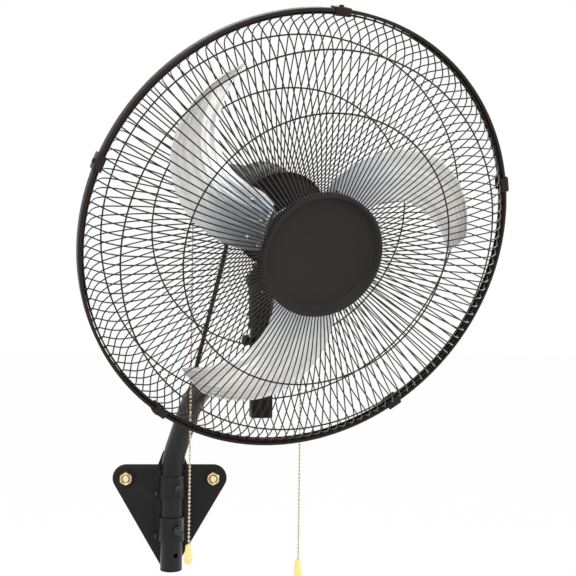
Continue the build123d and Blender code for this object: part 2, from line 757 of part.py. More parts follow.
# ---- hub spider: three arms pressed to the blades' own slope, riveted under them
def spider():
    hub_low = rim_ahead + blade_back - spider_behind
    hub_high = hub_low + spider_wall
    body = sleeve(spider_radius, shaft_radius, hub_low - spider_hub_step, hub_high + spider_hub_step)
    collar_outer, collar_top = spider_collar
    body += sleeve(collar_outer, shaft_radius, hub_high, hub_low + collar_top)
    lead, trail = blade_stations[0][1] + 6, blade_stations[0][3] - 6
    root = blade_stations[0][0]
    radii = [spider_radius + (spider_arm - spider_radius) * n / 5 for n in (-0.7, 0, 1, 2, 3, 4, 5)]
    for n in range(blade_count):
        grid = []
        for r in radii:
            rise = min(1.0, max(0.0, (r - spider_radius) / (root + 1.0 - spider_radius)))
            line = []
            for step in range(5):
                angle = lead + (trail - lead) * step / 4
                under = root_point(max(r, root), angle, spider_drop()).Z
                line.append(Vector(*polar(r, angle), hub_low + (under - hub_low) * rise))
            grid.append(line)
        arm = Solid.thicken(Face.make_surface_from_array_of_points(grid, tol=0.05), spider_wall)
        body += Rot(0, 0, -360 / blade_count * n) * arm
    return head * body


def spider_drop():
    """From the blade's back face down to the arm's back face, on the blade's slope."""
    return spider_wall * arm_slope + 2 * seat_gap


def blade_rivets():
    """Domed rivets through each blade and the arm under it."""
    dome = Sphere(rivet_radius) & rod(rivet_radius, 0, rivet_radius)
    tail_low, tail_high = rivet_tail
    rivet = Pos(0, 0, blade_wall - rivet_sink) * dome + rod(rivet_stem, -spider_drop() - tail_high, blade_wall)
    rivet += rod(rivet_radius, -spider_drop() - tail_low, -spider_drop() - tail_high)
    return [head * Rot(0, 0, -360 / blade_count * n) * Location(root_point(*spot)) * rivet
            for n in range(blade_count) for spot in rivet_spots]


def spinner_nut():
    """Closed nut on the end of the shaft, seated on the hub's collar."""
    low = rim_ahead + blade_back - spider_behind + spider_collar[1] + 0.1
    skirt, shoulder = low + nut_skirt, low + nut_skirt + 10.0
    nut = turned((shaft_radius, low), (nut_radius, low), (nut_radius, skirt), (nut_radius - 5.0, shoulder),
                 (0, shoulder + 4.0), (0, shoulder + 2.0), (shaft_radius, shoulder + 2.0))
    return head * nut


# ---- guards
def guard_shape(side):
    """Radii and distances from the rim plane that a wire passes, from the centre out."""
    if side > 0:
        return (front_wire_start, front_hub_height), front_crown, front_shoulder
    return (rear_wire_start, rear_hub_height), rear_crown, rear_shoulder


def guard_wires(side):
    """All spokes of one guard: side is 1 in front of the rim plane and -1 behind it."""
    points = [*guard_shape(side), (rim_radius - rim_foot, foot_height), (rim_radius - rim_end, guard_split)]
    path = FilletPolyline(*[(r, 0, rim_ahead + side * h) for r, h in points], radius=list(wire_bends))
    section = Plane(origin=path @ 0, z_dir=path % 0) * Circle(wire_radius)
    one = sweep(section, path=path)
    step = 360.0 / wire_count
    first = 0.0 if side > 0 else step / 2
    return [head * Rot(0, 0, first + step * n) * one for n in range(wire_count)]


def guard_ring(radius, height):
    return head * Pos(0, 0, rim_ahead + height) * Torus(radius, ring_radius)


def guard_rings(side, radii):
    """Hoops welded inside the spokes, and one at the rim."""
    touch = wire_radius + ring_radius - weld
    _, crown, shoulder = guard_shape(side)
    slope = (shoulder[1] - crown[1]) / (shoulder[0] - crown[0])
    drop = touch * math.hypot(1.0, slope)
    out = [guard_ring(r, side * (crown[1] + slope * (r - crown[0]) - drop)) for r in radii]
    out.append(guard_ring(rim_radius - rim_ring, side * (guard_split - touch)))
    return out


def rear_plate():
    """Pressed disc that the rear wires are welded to, clamped on the motor's nose."""
    top = rim_ahead - rear_hub_height - wire_radius + weld
    low = motor_front + motor_wall + seat_gap
    inner = nose_radius + seat_gap
    start, end = plate_dish
    return head * turned((inner, low), (start, low), (end, top - plate_wall),
                         (plate_radius, top - plate_wall), (plate_radius, top), (end + 0.5, top),
                         (start + 0.5, low + plate_wall), (inner, low + plate_wall))


def guard_nut():
    low = motor_front + motor_wall + plate_wall + 2 * seat_gap
    nut = sleeve(nut_outer, nose_radius + 0.05, low, low + nut_length)
    middle, radius = nut_groove
    for angle in range(0, 360, 20):
        nut -= Pos(*polar(middle, angle), low + nut_length / 2) * Cylinder(radius, nut_length + 2)
    return head * nut


def rim_hoop():
    half, r, w = rim_depth / 2, rim_radius, rim_wall
    return head * Pos(0, 0, rim_ahead) * turned(
        (r - rim_flange, -half), (r, -half), (r, half), (r - rim_flange, half), (r - rim_flange, half - w),
        (r - w, half - w), (r - w, -half + w), (r - rim_flange, -half + w))


def rim_clips():
    """Saddles over both rims, each with a screw head on its back."""
    half, r = rim_depth / 2 + clip_play, rim_radius + clip_play
    back, tip, w = r + clip_wall, r - clip_hold, clip_wall
    section = [(tip, -half - w), (back, -half - w), (back, half + w), (tip, half + w), (tip, half), (r, half),
               (r, -half), (tip, -half)]
    face = make_face(Polyline(*[(x, 0, z) for x, z in section], close=True))
    arc = math.degrees(clip_length / rim_radius)
    clip = revolve(face, Axis.Z, revolution_arc=arc)
    screw_radius, screw_height = clip_screw
    screw = Pos(back + screw_height / 2 - 0.1, 0, 0) * Rot(0, 90, 0) * Cylinder(screw_radius, screw_height)
    clip += Rot(0, 0, arc / 2) * screw
    out = []
    for n in range(clip_count):
        start = clip_angle + 360.0 / clip_count * n - arc / 2
        out.append(head * Pos(0, 0, rim_ahead) * Rot(0, 0, start) * clip)
    return out


def cap_floor():
    return rim_ahead + cap_height - cap_sink


def centre_cap():
    """Dished cap over the wires' ends."""
    top, w = rim_ahead + cap_height, cap_wall
    inner = cap_radius - cap_lip
    bottom = inner - cap_slope
    skirt = rim_ahead + front_hub_height + wire_radius + cap_skirt
    cap = turned((0, cap_floor()), (bottom, cap_floor()), (inner, top), (cap_radius - cap_edge, top),
                 (cap_radius, top - cap_edge), (cap_radius, skirt), (cap_radius - w, skirt),
                 (cap_radius - w, top - w), (inner + 0.9, top - w), (bottom + 0.9, cap_floor() - w),
                 (0, cap_floor() - w))
    return head * cap


def cap_pan():
    """Pan under the cap, with the front wires welded on its edge."""
    w = pan_wall
    top = rim_ahead + front_hub_height - wire_radius + weld
    floor = cap_floor() - cap_wall - seat_gap
    outer = cap_radius - pan_inset
    side = cap_radius - cap_lip - cap_slope + 2.4
    pan = turned((0, floor), (side - 1.2, floor), (side + 1.6, top), (outer, top), (outer, top - w),
                 (side + 2.6, top - w), (side - 0.2, floor - w), (0, floor - w))
    return head * pan


# ---- switches and chains
def box_corner_spot():
    """The box's corner beside the arm, at its front and floor."""
    return Vector(tube_radius + seat_gap, -post_reach + box_behind, tube_end_height - box_drop)


def box_middle():
    return box_corner_spot() + Vector(box_width, box_depth, box_tall) / 2


def box_size(less=0.0):
    return box_width - less, box_depth - less, box_tall - less


def box_screw_yz():
    behind, above = box_screw_spot
    return -post_reach + behind, tube_end_height + above


def speed_chain_spot():
    return box_corner_spot().X + speed_chain_side, box_middle().Y


def switch_box():
    """Hollow box on the arm's side with a spout that the chain leaves through."""
    middle, low = Pos(box_middle()), box_corner_spot().Z
    outer, drop = spout
    box = fillet((middle * Box(*box_size())).edges(), box_corner)
    box -= middle * Box(*box_size(2 * box_wall))
    box += rod(outer, low - drop, low + 1, *speed_chain_spot())
    box -= rod(bead_radius + 0.4, low - drop - 4, low + box_wall + 4, *speed_chain_spot())
    hole = Location((box_corner_spot().X, *box_screw_yz()), (0, 90, 0))
    return box - hole * Cylinder(box_screw[0] + 0.1, 5 * box_wall)


def switch_box_screw():
    """Screw from inside the box into the arm's side."""
    stem, across, height = box_screw
    inside = box_corner_spot().X + box_wall + 0.1
    screw = rod(stem, tube_radius - tube_wall - 1.0, inside) + hexagon(across, inside, inside + height)
    return Location((0, *box_screw_yz()), (0, 90, 0)) * screw


def drum_place():
    x, y = speed_chain_spot()
    return Pos(x - drum_radius, y, box_middle().Z) * Rot(90, 0, 0)


def switch_drum():
    """Drum that the chain turns inside the box."""
    drum = Cylinder(drum_radius - bead_radius - 0.4, drum_width)
    drum -= Cylinder(drum_pin_radius + running_gap, drum_width + 6)
    for angle in (0, 90, 180, 270):
        drum += Rot(0, 0, angle) * Pos(6.0, 0, drum_width / 2 + 1) * Cylinder(1.5, 3.0)
    return drum_place() * drum


def drum_pin():
    return drum_place() * Cylinder(drum_pin_radius, box_depth - 2 * box_wall - 0.1)


def motor_capacitor():
    """Box shaped capacitor in the upper corner beside the arm."""
    corner = box_corner_spot() + Vector(box_wall + 4.2, box_depth / 2, box_tall - box_wall - 0.2)
    wide, _, tall = capacitor_size
    return Pos(corner + Vector(wide / 2, 0, -tall / 2)) * Box(*capacitor_size)


def knob(x, y, top):
    """Turned pull that widens downwards and is rounded in at its foot."""
    r, foot = knob_radius, -knob_height
    belly = -knob_height * knob_belly
    bell = turned((0, foot), (r * knob_foot, foot), (r * 0.93, foot + 1.6), (r, belly - 2.0), (r, belly + 1.0),
                  (r * 0.86, belly * 0.5), (r * (knob_neck + 0.02), -0.6), (r * (knob_neck - 0.1), 0), (0, 0))
    return Pos(x, y, top) * bell


def chain(x, y, low, high):
    return rod(bead_radius, low, high, x, y)


def lever_pivot():
    return lever_root + 8.0


def lever():
    """Clutch lever out of the gearbox's left side, with the turning chain at its end."""
    x, y, z = lever_end
    pivot = lever_pivot()
    bar = Pos((x + pivot) / 2, y, z) * Box(pivot - x, lever_width, lever_wall)
    for spot, play in ((x, 0.0), (pivot, running_gap)):
        bar += Pos(spot, y, z) * Cylinder(lever_boss, lever_wall)
        bar -= Pos(spot, y, z) * Cylinder(lever_hole + play, 3 * lever_wall)
    return head * bar


def lever_pin():
    low, high = gearbox_rear() - seat_gap, motor_back - seat_gap - gearbox_wall
    return head * rod(lever_hole, low, high, lever_pivot(), lever_end[1])


def chain_top():
    """Where the turning chain hangs from the lever."""
    return (head * Pos(*lever_end)).position


def chain_eye():
    """Split ring through the lever's end, upright, with the chain under it."""
    top = chain_top()
    turn = Location((top.X, top.Y, top.Z - eye_size), (0, 0, head_yaw))
    return turn * Rot(0, 90, 0) * Torus(eye_size, eye_wire)


# ---- lead between the motor and the arm
def lead_start():
    x, z = lead_gland
    return (head * Pos(x, -gearbox_floor() - gland_length, z)).position


def lead_end():
    return (grommet_place() * Pos(0, 0, grommet_top)).position


def lead_bends(points):
    """Each bend is as large as the shorter run beside it allows."""
    out = []
    for before, middle, after in zip(points, points[1:], points[2:]):
        run_in, run_out = middle - before, after - middle
        half_turn = math.radians(run_in.get_angle(run_out)) / 2
        out.append(lead_share * min(run_in.length, run_out.length) / math.tan(half_turn))
    return out


def power_lead():
    points = [lead_start(), *[Vector(*p) for p in lead_points], lead_end()]
    bends = lead_bends(points)
    path = FilletPolyline(*points, radius=bends)
    section = Plane(origin=path @ 0, z_dir=path % 0) * Circle(lead_radius)
    body = sweep(section, path=path)
    plain = math.pi * lead_radius ** 2 * path.length
    print("lead length", round(path.length, 1), "volume share", round(body.volume / plain, 4))
    print("lead bends", [round(b, 1) for b in bends])
    return body


def gland():
    """Grommet that the lead leaves the gearbox through."""
    x, z = lead_gland
    skin, inner, flange = gearbox_floor(), lead_radius + cord_play, gland_neck + gland_flange
    low = skin - gearbox_wall - 1.5
    body = turned((inner, low), (gland_neck, low), (gland_neck, skin + 0.1), (flange, skin + 0.1),
                  (flange, skin + 1.4), (gland_neck + 0.6, skin + gland_length), (inner, skin + gland_length))
    return head * Pos(x, 0, z) * Rot(90, 0, 0) * body


def grommet():
    """Rubber bush in the arm's upper side, where the lead goes in."""
    inner, top, flange = lead_radius + cord_play, grommet_top, grommet_neck + grommet_flange
    body = turned((inner, grommet_low), (grommet_neck, grommet_low), (grommet_neck, top - 3.0), (flange, top - 3.0),
                  (flange, top - 1.0), (grommet_neck + 0.2, top), (inner, top))
    return grommet_place() * body


# ---- write every piece
save("wall_plate", wall_plate())
save("wall_bolts", *[wall_bolt(side) for side in (-1, 1)])
save("bolt_washers", *[bolt_washer(side) for side in (-1, 1)])
save("arm_bracket", arm_bracket())
save("bracket_rivets", *ear_rivets())
save("clamp_bands", *clamp_bands())
save("clamp_screws", *clamp_screws())

save_on_arm("arm_tube", arm_tube())
save_on_arm("tube_plug", tube_plug())
save_on_arm("arm_socket", arm_socket())
save_on_arm("post_tube", post_tube())
save_on_arm("post_collar", post_collar())
save_on_arm("set_screw", set_screw())
save_on_arm("tilt_fork", tilt_fork())
save_on_arm("tilt_bolt", tilt_bolt())
save_on_arm("neck_bracket", neck_bracket())
save_on_arm("link_rod", link_rod())

save_on_arm("motor_front_shell", motor_front_shell())
save_on_arm("motor_rear_shell", motor_rear_shell())
core, windings = stator()
save_on_arm("stator_core", core)
save_on_arm("stator_windings", *windings)
save_on_arm("shaft_bearings", *bearings())
save_on_arm("gearbox_case", gearbox_case())
save_on_arm("gearbox_cover", gearbox_cover())
save_on_arm("gearbox_screws", *gearbox_screws())
save_on_arm("crank_gear", crank_gear())

save_on_arm("rotor_shaft", rotor_shaft())
save_on_arm("worm", worm())
save_on_arm("rotor_core", rotor_core())
for number, blade in enumerate(blades(), 1):
    save_on_arm(f"blade_{number}", blade)
save_on_arm("blade_spider", spider())
save_on_arm("blade_rivets", *blade_rivets())
save_on_arm("spinner_nut", spinner_nut())

save_on_arm("front_guard_wires", *guard_wires(1))
save_on_arm("front_guard_rings", *guard_rings(1, front_rings))
save_on_arm("rear_guard_wires", *guard_wires(-1))
save_on_arm("rear_guard_rings", *guard_rings(-1, rear_rings))
save_on_arm("rear_guard_plate", rear_plate())
save_on_arm("guard_nut", guard_nut())
save_on_arm("rim_hoop", rim_hoop())
save_on_arm("rim_clips", *rim_clips())
save_on_arm("centre_cap", centre_cap())
save_on_arm("cap_pan", cap_pan())

save_on_arm("switch_box", switch_box())
save_on_arm("switch_box_screw", switch_box_screw())
save_on_arm("switch_drum", switch_drum())
save_on_arm("drum_pin", drum_pin())
save_on_arm("motor_capacitor", motor_capacitor())
save_on_arm("clutch_lever", lever())
save_on_arm("lever_pin", lever_pin())
save_on_arm("chain_eye", chain_eye())
top = chain_top()
save_on_arm("turning_chain", chain(top.X, top.Y, turning_knob_top, top.Z - 2 * eye_size - eye_wire))
save_on_arm("turning_knob", knob(top.X, top.Y, turning_knob_top))
speed_chain_high = box_corner_spot().Z + speed_chain_rise
save_on_arm("speed_chain", chain(*speed_chain_spot(), speed_knob_top, speed_chain_high))
save_on_arm("speed_knob", knob(*speed_chain_spot(), speed_knob_top))
save_on_arm("power_lead", power_lead())
save_on_arm("lead_gland", gland())
save_on_arm("lead_grommet", grommet())
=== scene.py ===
import json
import math
import bmesh
import bpy
from mathutils import Matrix, Vector


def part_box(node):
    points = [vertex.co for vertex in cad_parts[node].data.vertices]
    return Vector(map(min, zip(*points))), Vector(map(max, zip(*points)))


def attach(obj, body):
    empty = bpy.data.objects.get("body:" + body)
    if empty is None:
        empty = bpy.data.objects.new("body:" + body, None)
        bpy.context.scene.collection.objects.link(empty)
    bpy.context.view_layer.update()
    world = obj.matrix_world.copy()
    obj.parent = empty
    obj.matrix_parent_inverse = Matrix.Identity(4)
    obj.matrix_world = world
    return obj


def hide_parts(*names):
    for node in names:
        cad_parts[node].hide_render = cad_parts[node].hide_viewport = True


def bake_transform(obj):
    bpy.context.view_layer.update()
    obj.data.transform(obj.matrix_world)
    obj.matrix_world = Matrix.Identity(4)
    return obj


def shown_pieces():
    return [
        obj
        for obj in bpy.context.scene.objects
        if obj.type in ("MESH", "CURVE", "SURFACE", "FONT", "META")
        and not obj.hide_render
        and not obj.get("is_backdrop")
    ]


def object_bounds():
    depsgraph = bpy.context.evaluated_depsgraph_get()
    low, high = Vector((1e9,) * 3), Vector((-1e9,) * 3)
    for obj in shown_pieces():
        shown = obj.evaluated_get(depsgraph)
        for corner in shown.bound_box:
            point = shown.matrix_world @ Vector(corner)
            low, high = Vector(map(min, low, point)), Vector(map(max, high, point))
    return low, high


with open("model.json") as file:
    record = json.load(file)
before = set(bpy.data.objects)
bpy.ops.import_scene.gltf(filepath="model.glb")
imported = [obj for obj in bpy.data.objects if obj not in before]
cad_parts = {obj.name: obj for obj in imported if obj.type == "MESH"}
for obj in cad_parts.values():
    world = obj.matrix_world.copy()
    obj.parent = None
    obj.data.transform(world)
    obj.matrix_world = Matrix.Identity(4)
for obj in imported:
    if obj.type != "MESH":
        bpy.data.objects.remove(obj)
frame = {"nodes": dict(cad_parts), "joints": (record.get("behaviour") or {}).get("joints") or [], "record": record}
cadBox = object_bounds()
print("frame loaded:", len(frame["nodes"]), "nodes")

# places taken from the frame
joints = {joint["name"]: joint for joint in frame["joints"]}
slotOf = {part["node"]: part["material_slot"] for part in frame["record"]["subparts"]}
bodyOf = {node: body for body, nodes in frame["record"]["behaviour"]["bodies"].items() for node in nodes}
blows = Vector(joints["rotor_spin"]["axis"])      # the way the fan blows
spindleUp = Vector(joints["head_swing"]["axis"])
headRight = spindleUp.cross(blows)
hubSpot = Vector(joints["rotor_spin"]["pos_m"])
headTurn = Matrix((headRight, spindleUp, blows)).transposed()
headPlace = Matrix.Translation(hubSpot) @ headTurn.to_4x4()


def headSpan(node):
    # lowest and highest corner of a node, measured along the fan's own axes
    spots = [headPlace.inverted() @ v.co for v in frame["nodes"][node].data.vertices]
    return [Vector([pick(s[k] for s in spots) for k in range(3)]) for pick in (min, max)]


rimLow, rimHigh = headSpan("rim_hoop")
rimAhead = (rimLow.z + rimHigh.z) / 2
rimRadius = rimHigh.x


# camera, at the photograph's angle
camera = {"spot": (0.0506, -1.5198, 0.2761), "heading": 4.4, "roll": 0.75, "focal": 1046.3, "width": 576}


def setCamera(settings):
    heading, roll = math.radians(settings["heading"]), math.radians(settings["roll"])
    ahead = Vector((math.sin(heading), math.cos(heading), 0))
    level = Vector((math.cos(heading), -math.sin(heading), 0))
    right = level * math.cos(roll) + Vector((0, 0, math.sin(roll)))
    data = bpy.data.cameras.new("camera")
    data.sensor_width = 36
    data.lens = data.sensor_width * settings["focal"] / settings["width"]
    seer = bpy.data.objects.new("camera", data)
    bpy.context.scene.collection.objects.link(seer)
    turn = Matrix((right, right.cross(ahead), -ahead)).transposed()
    seer.matrix_world = Matrix.Translation(settings["spot"]) @ turn.to_4x4()
    bpy.context.scene.camera = seer


setCamera(camera)
print("camera set")


# small helpers for nodes, meshes and trees
def addNode(tree, kind, inputs=None, **settings):
    node = tree.nodes.new(kind)
    for name, value in settings.items():
        setattr(node, name, value)
    for name, value in (inputs or {}).items():
        if isinstance(value, bpy.types.NodeSocket):
            tree.links.new(value, node.inputs[name])
        else:
            node.inputs[name].default_value = value
    return node


def tone(code):
    # "#rrggbb" as the screen shows it, to the shader's own values
    values = [int(code[k:k + 2], 16) / 255 for k in (1, 3, 5)]
    return tuple(v / 12.92 if v < 0.04045 else ((v + 0.055) / 1.055) ** 2.4 for v in values) + (1,)


def addPiece(name, mesh):
    piece = bpy.data.objects.new(name, mesh)
    bpy.context.scene.collection.objects.link(piece)
    return piece


def standFor(piece, node, *others):
    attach(piece, bodyOf[node])
    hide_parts(node, *others)
    return piece


# finishes
def coat(name, main, second, patch=9, grain=900, rough=(0.4, 0.55), bump=0.06, stretch=(1, 1, 1), **sockets):
    # a finish with slow patches of a second tone and a fine grain, on the object's own coordinates
    material = bpy.data.materials.new(name)
    material.use_nodes = True
    tree = material.node_tree
    shader = tree.nodes["Principled BSDF"]
    spot = addNode(tree, "ShaderNodeTexCoord").outputs["Object"]
    scaled = addNode(tree, "ShaderNodeMapping", {"Vector": spot, "Scale": stretch}).outputs[0]
    broad = addNode(tree, "ShaderNodeTexNoise", {"Vector": scaled, "Scale": patch, "Detail": 4.0}).outputs[0]
    fine = addNode(tree, "ShaderNodeTexNoise", {"Vector": scaled, "Scale": grain, "Detail": 2.0}).outputs[0]
    mixed = addNode(tree, "ShaderNodeMix", {0: broad, 6: tone(main), 7: tone(second)}, data_type="RGBA")
    spread = addNode(tree, "ShaderNodeMapRange", {"Value": fine, "From Min": 0.3, "From Max": 0.7,
                                                  "To Min": rough[0], "To Max": rough[1]})
    relief = addNode(tree, "ShaderNodeBump", {"Height": fine, "Strength": bump, "Distance": 0.0004})
    tree.links.new(mixed.outputs[2], shader.inputs["Base Color"])
    tree.links.new(spread.outputs[0], shader.inputs["Roughness"])
    tree.links.new(relief.outputs[0], shader.inputs["Normal"])
    for socket, value in sockets.items():
        shader.inputs[socket.replace("_", " ")].default_value = value
    return material


# the colour ramp is painted shade and reflection along the blade: a darker blue-grey root, a light middle and a
# greyer tip
sheetLook = {"stops": ((0.0, "#98a1a8"), (0.2, "#bcc3c8"), (0.42, "#f1f2f1"), (0.72, "#e9e7e3"),
                       (1.0, "#d8d5d0")),
             "hairStretch": (3, 160, 1), "hairScale": 4.0, "hairDepth": 0.0003,
             "waveStretch": (1.4, 7, 1), "waveScale": 1.3, "waveDepth": 0.004,
             "streak": (0.86, 1.1), "rough": (0.26, 0.46), "metal": 0.8}


def bladeSheet():
    # rolled aluminium: hair lines along the blade and slow waves in the sheet, with painted shade and reflection:
    # a darker blue-grey root and painted highlight bands
    material = bpy.data.materials.new("bladeSheet")
    material.use_nodes = True
    tree = material.node_tree
    shader = tree.nodes["Principled BSDF"]
    along = addNode(tree, "ShaderNodeUVMap", uv_map="sheet").outputs[0]
    lines = addNode(tree, "ShaderNodeMapping", {"Vector": along,
                                                "Scale": sheetLook["hairStretch"]}).outputs[0]
    hair = addNode(tree, "ShaderNodeTexNoise", {"Vector": lines, "Scale": sheetLook["hairScale"],
                                                "Detail": 5.0}).outputs[0]
    bands = addNode(tree, "ShaderNodeMapping", {"Vector": along,
                                                "Scale": sheetLook["waveStretch"]}).outputs[0]
    slow = addNode(tree, "ShaderNodeTexNoise", {"Vector": bands, "Scale": sheetLook["waveScale"],
                                                "Detail": 2.0}).outputs[0]
    span = addNode(tree, "ShaderNodeSeparateXYZ", {0: along}).outputs[0]
    ramp = addNode(tree, "ShaderNodeValToRGB", {0: span})
    while len(ramp.color_ramp.elements) < len(sheetLook["stops"]):
        ramp.color_ramp.elements.new(0.5)
    for element, (place, code) in zip(ramp.color_ramp.elements, sheetLook["stops"]):
        element.position = place
        element.color = tone(code)
    # painted highlight: slow bands along the sheet's waves brighten and darken the colour like reflections
    low, high = sheetLook["streak"]
    streak = addNode(tree, "ShaderNodeMapRange", {"Value": slow, "From Min": 0.35, "From Max": 0.65,
                                                  "To Min": low, "To Max": high}).outputs[0]
    paintedLightTint = addNode(tree, "ShaderNodeVectorMath", {0: ramp.outputs[0], "Scale": streak}, operation="SCALE")
    low, high = sheetLook["rough"]
    gloss = addNode(tree, "ShaderNodeMapRange", {"Value": hair, "To Min": low, "To Max": high}).outputs[0]
    relief = addNode(tree, "ShaderNodeBump", {"Height": hair, "Strength": 0.12,
                                              "Distance": sheetLook["hairDepth"]}).outputs[0]
    wave = addNode(tree, "ShaderNodeBump", {"Height": slow, "Strength": 0.5,
                                            "Distance": sheetLook["waveDepth"], "Normal": relief}).outputs[0]
    tree.links.new(paintedLightTint.outputs[0], shader.inputs["Base Color"])
    tree.links.new(gloss, shader.inputs["Roughness"])
    tree.links.new(wave, shader.inputs["Normal"])
    shader.inputs["Metallic"].default_value = sheetLook["metal"]
    return material


def woundCopper():
    # varnished turns as fine ridges over a copper colour
    material = coat("woundCopper", "#8a4a22", "#6c3417", 30, 700, (0.3, 0.45), 0.1, Metallic=0.7)
    tree = material.node_tree
    shader = tree.nodes["Principled BSDF"]
    spot = addNode(tree, "ShaderNodeTexCoord").outputs["Object"]
    turns = addNode(tree, "ShaderNodeTexWave", {"Vector": spot, "Scale": 260.0, "Distortion": 1.5})
    ridge = addNode(tree, "ShaderNodeBump", {"Height": turns.outputs[1], "Strength": 0.6, "Distance": 0.0006})
    tree.links.new(ridge.outputs[0], shader.inputs["Normal"])
    return material


def stackedSheets():
    # laminated core: thin dark lines across the fan's axis
    material = coat("stackedSheets", "#7d7f82", "#63656a", 20, 800, (0.35, 0.5), 0.05, Metallic=0.85)
    tree = material.node_tree
    shader = tree.nodes["Principled BSDF"]
    spot = addNode(tree, "ShaderNodeTexCoord").outputs["Object"]
    depth = addNode(tree, "ShaderNodeVectorMath", {0: spot, 1: blows},
                    operation="DOT_PRODUCT").outputs["Value"]
    sheetsPerMetre = 1100.0
    line = addNode(tree, "ShaderNodeMath", {0: depth, 1: sheetsPerMetre}, operation="MULTIPLY").outputs[0]
    saw = addNode(tree, "ShaderNodeMath", {0: line}, operation="FRACT").outputs[0]
    ridge = addNode(tree, "ShaderNodeBump", {"Height": saw, "Strength": 0.5, "Distance": 0.0004})
    tree.links.new(ridge.outputs[0], shader.inputs["Normal"])
    return material


framePaint = coat("framePaint", "#191818", "#151414", 14, 1400, (0.4, 0.58), 0.12, Specular_IOR_Level=0.2)
tubePaint = coat("tubePaint", "#181717", "#141414", 12, 1100, (0.26, 0.38), 0.06, Specular_IOR_Level=0.26)
bandPaint = coat("bandPaint", "#161515", "#121212", 18, 1200, (0.3, 0.44), 0.08, Specular_IOR_Level=0.24)
wireCoat = coat("wireCoat", "#231b18", "#1e1715", 30, 500, (0.22, 0.34), 0.04, Specular_IOR_Level=0.26)
rimCoat = coat("rimCoat", "#2b2421", "#26201d", 30, 500, (0.3, 0.42), 0.04, Specular_IOR_Level=0.08)
motorPaint = coat("motorPaint", "#241f1d", "#1f1b1a", 16, 1500, (0.42, 0.58), 0.1, Specular_IOR_Level=0.22)
capSkin = coat("capSkin", "#23211f", "#201e1d", 8, 1900, (0.6, 0.72), 0.1, Specular_IOR_Level=0.18)
blackMould = coat("blackMould", "#171717", "#131313", 20, 1700, (0.42, 0.55), 0.12, Specular_IOR_Level=0.22)
greyMould = coat("greyMould", "#8d8f90", "#858789", 20, 1700, (0.42, 0.55), 0.1)
darkSteel = coat("darkSteel", "#45464a", "#3b3c40", 60, 1500, (0.3, 0.44), 0.08, Metallic=0.9)
brightSteel = coat("brightSteel", "#b9bbbd", "#a5a7aa", 60, 1500, (0.2, 0.34), 0.06, Metallic=1.0)
yellowZinc = coat("yellowZinc", "#dcc07a", "#c49a5e", 240, 1600, (0.2, 0.34), 0.06, Metallic=1.0)
# painted highlight: a pale stud end that stands for the glint on the bolt's end
studEnd = coat("studEnd", "#f4ebcf", "#e8dcb6", 240, 1600, (0.16, 0.28), 0.04, Metallic=1.0)
# painted shade: a darker brown for the nut's hollow, standing for shade in the recess
nutHollow = coat("nutHollow", "#8f7038", "#6d5226", 240, 1600, (0.3, 0.42), 0.06, Metallic=1.0)
beadBrass = coat("beadBrass", "#d3c8ab", "#b9aa85", 300, 1500, (0.2, 0.32), 0.04, Metallic=1.0)
knobCream = coat("knobCream", "#f3d08c", "#eec67c", 60, 1300, (0.34, 0.46), 0.05, Coat_Weight=0.2)
softRubber = coat("softRubber", "#19191a", "#141415", 30, 1500, (0.5, 0.66), 0.14, Specular_IOR_Level=0.2)
bladeMetal = bladeSheet()
copperTurns = woundCopper()
coreSheets = stackedSheets()
finishOf = {"frame_paint": framePaint, "tube_paint": tubePaint, "band_paint": bandPaint,
            "guard_paint": wireCoat, "motor_paint": motorPaint, "dark_steel": darkSteel,
            "bright_steel": brightSteel, "lamination_steel": coreSheets, "copper_varnish": copperTurns,
            "yellow_zinc": yellowZinc,
            "blade_aluminium": bladeMetal, "cap_plastic": capSkin, "black_plastic": blackMould,
            "grey_plastic": greyMould, "black_rubber": softRubber, "chain_brass": beadBrass,
            "knob_plastic": knobCream}
for node, part in frame["nodes"].items():
    part.data.materials.clear()
    part.data.materials.append(finishOf[slotOf[node]])
print("finishes made:", len(finishOf))


# trees that grow what repeats
def startTree(name, sockets):
    tree = bpy.data.node_groups.new(name, "GeometryNodeTree")
    tree.interface.new_socket("Geometry", in_out="INPUT", socket_type="NodeSocketGeometry")
    for label, kind in sockets.items():
        tree.interface.new_socket(label, in_out="INPUT", socket_type="NodeSocket" + kind)
    tree.interface.new_socket("Material", in_out="INPUT", socket_type="NodeSocketMaterial")
    tree.interface.new_socket("Geometry", in_out="OUTPUT", socket_type="NodeSocketGeometry")
    return tree, addNode(tree, "NodeGroupInput").outputs


def endTree(tree, start, geometry):
    whole = addNode(tree, "GeometryNodeRealizeInstances", {"Geometry": geometry}).outputs[0]
    smooth = addNode(tree, "GeometryNodeSetShadeSmooth", {"Geometry": whole}).outputs[0]
    painted = addNode(tree, "GeometryNodeSetMaterial", {"Geometry": smooth, "Material": start["Material"]})
    addNode(tree, "NodeGroupOutput", {"Geometry": painted.outputs[0]})
    return tree


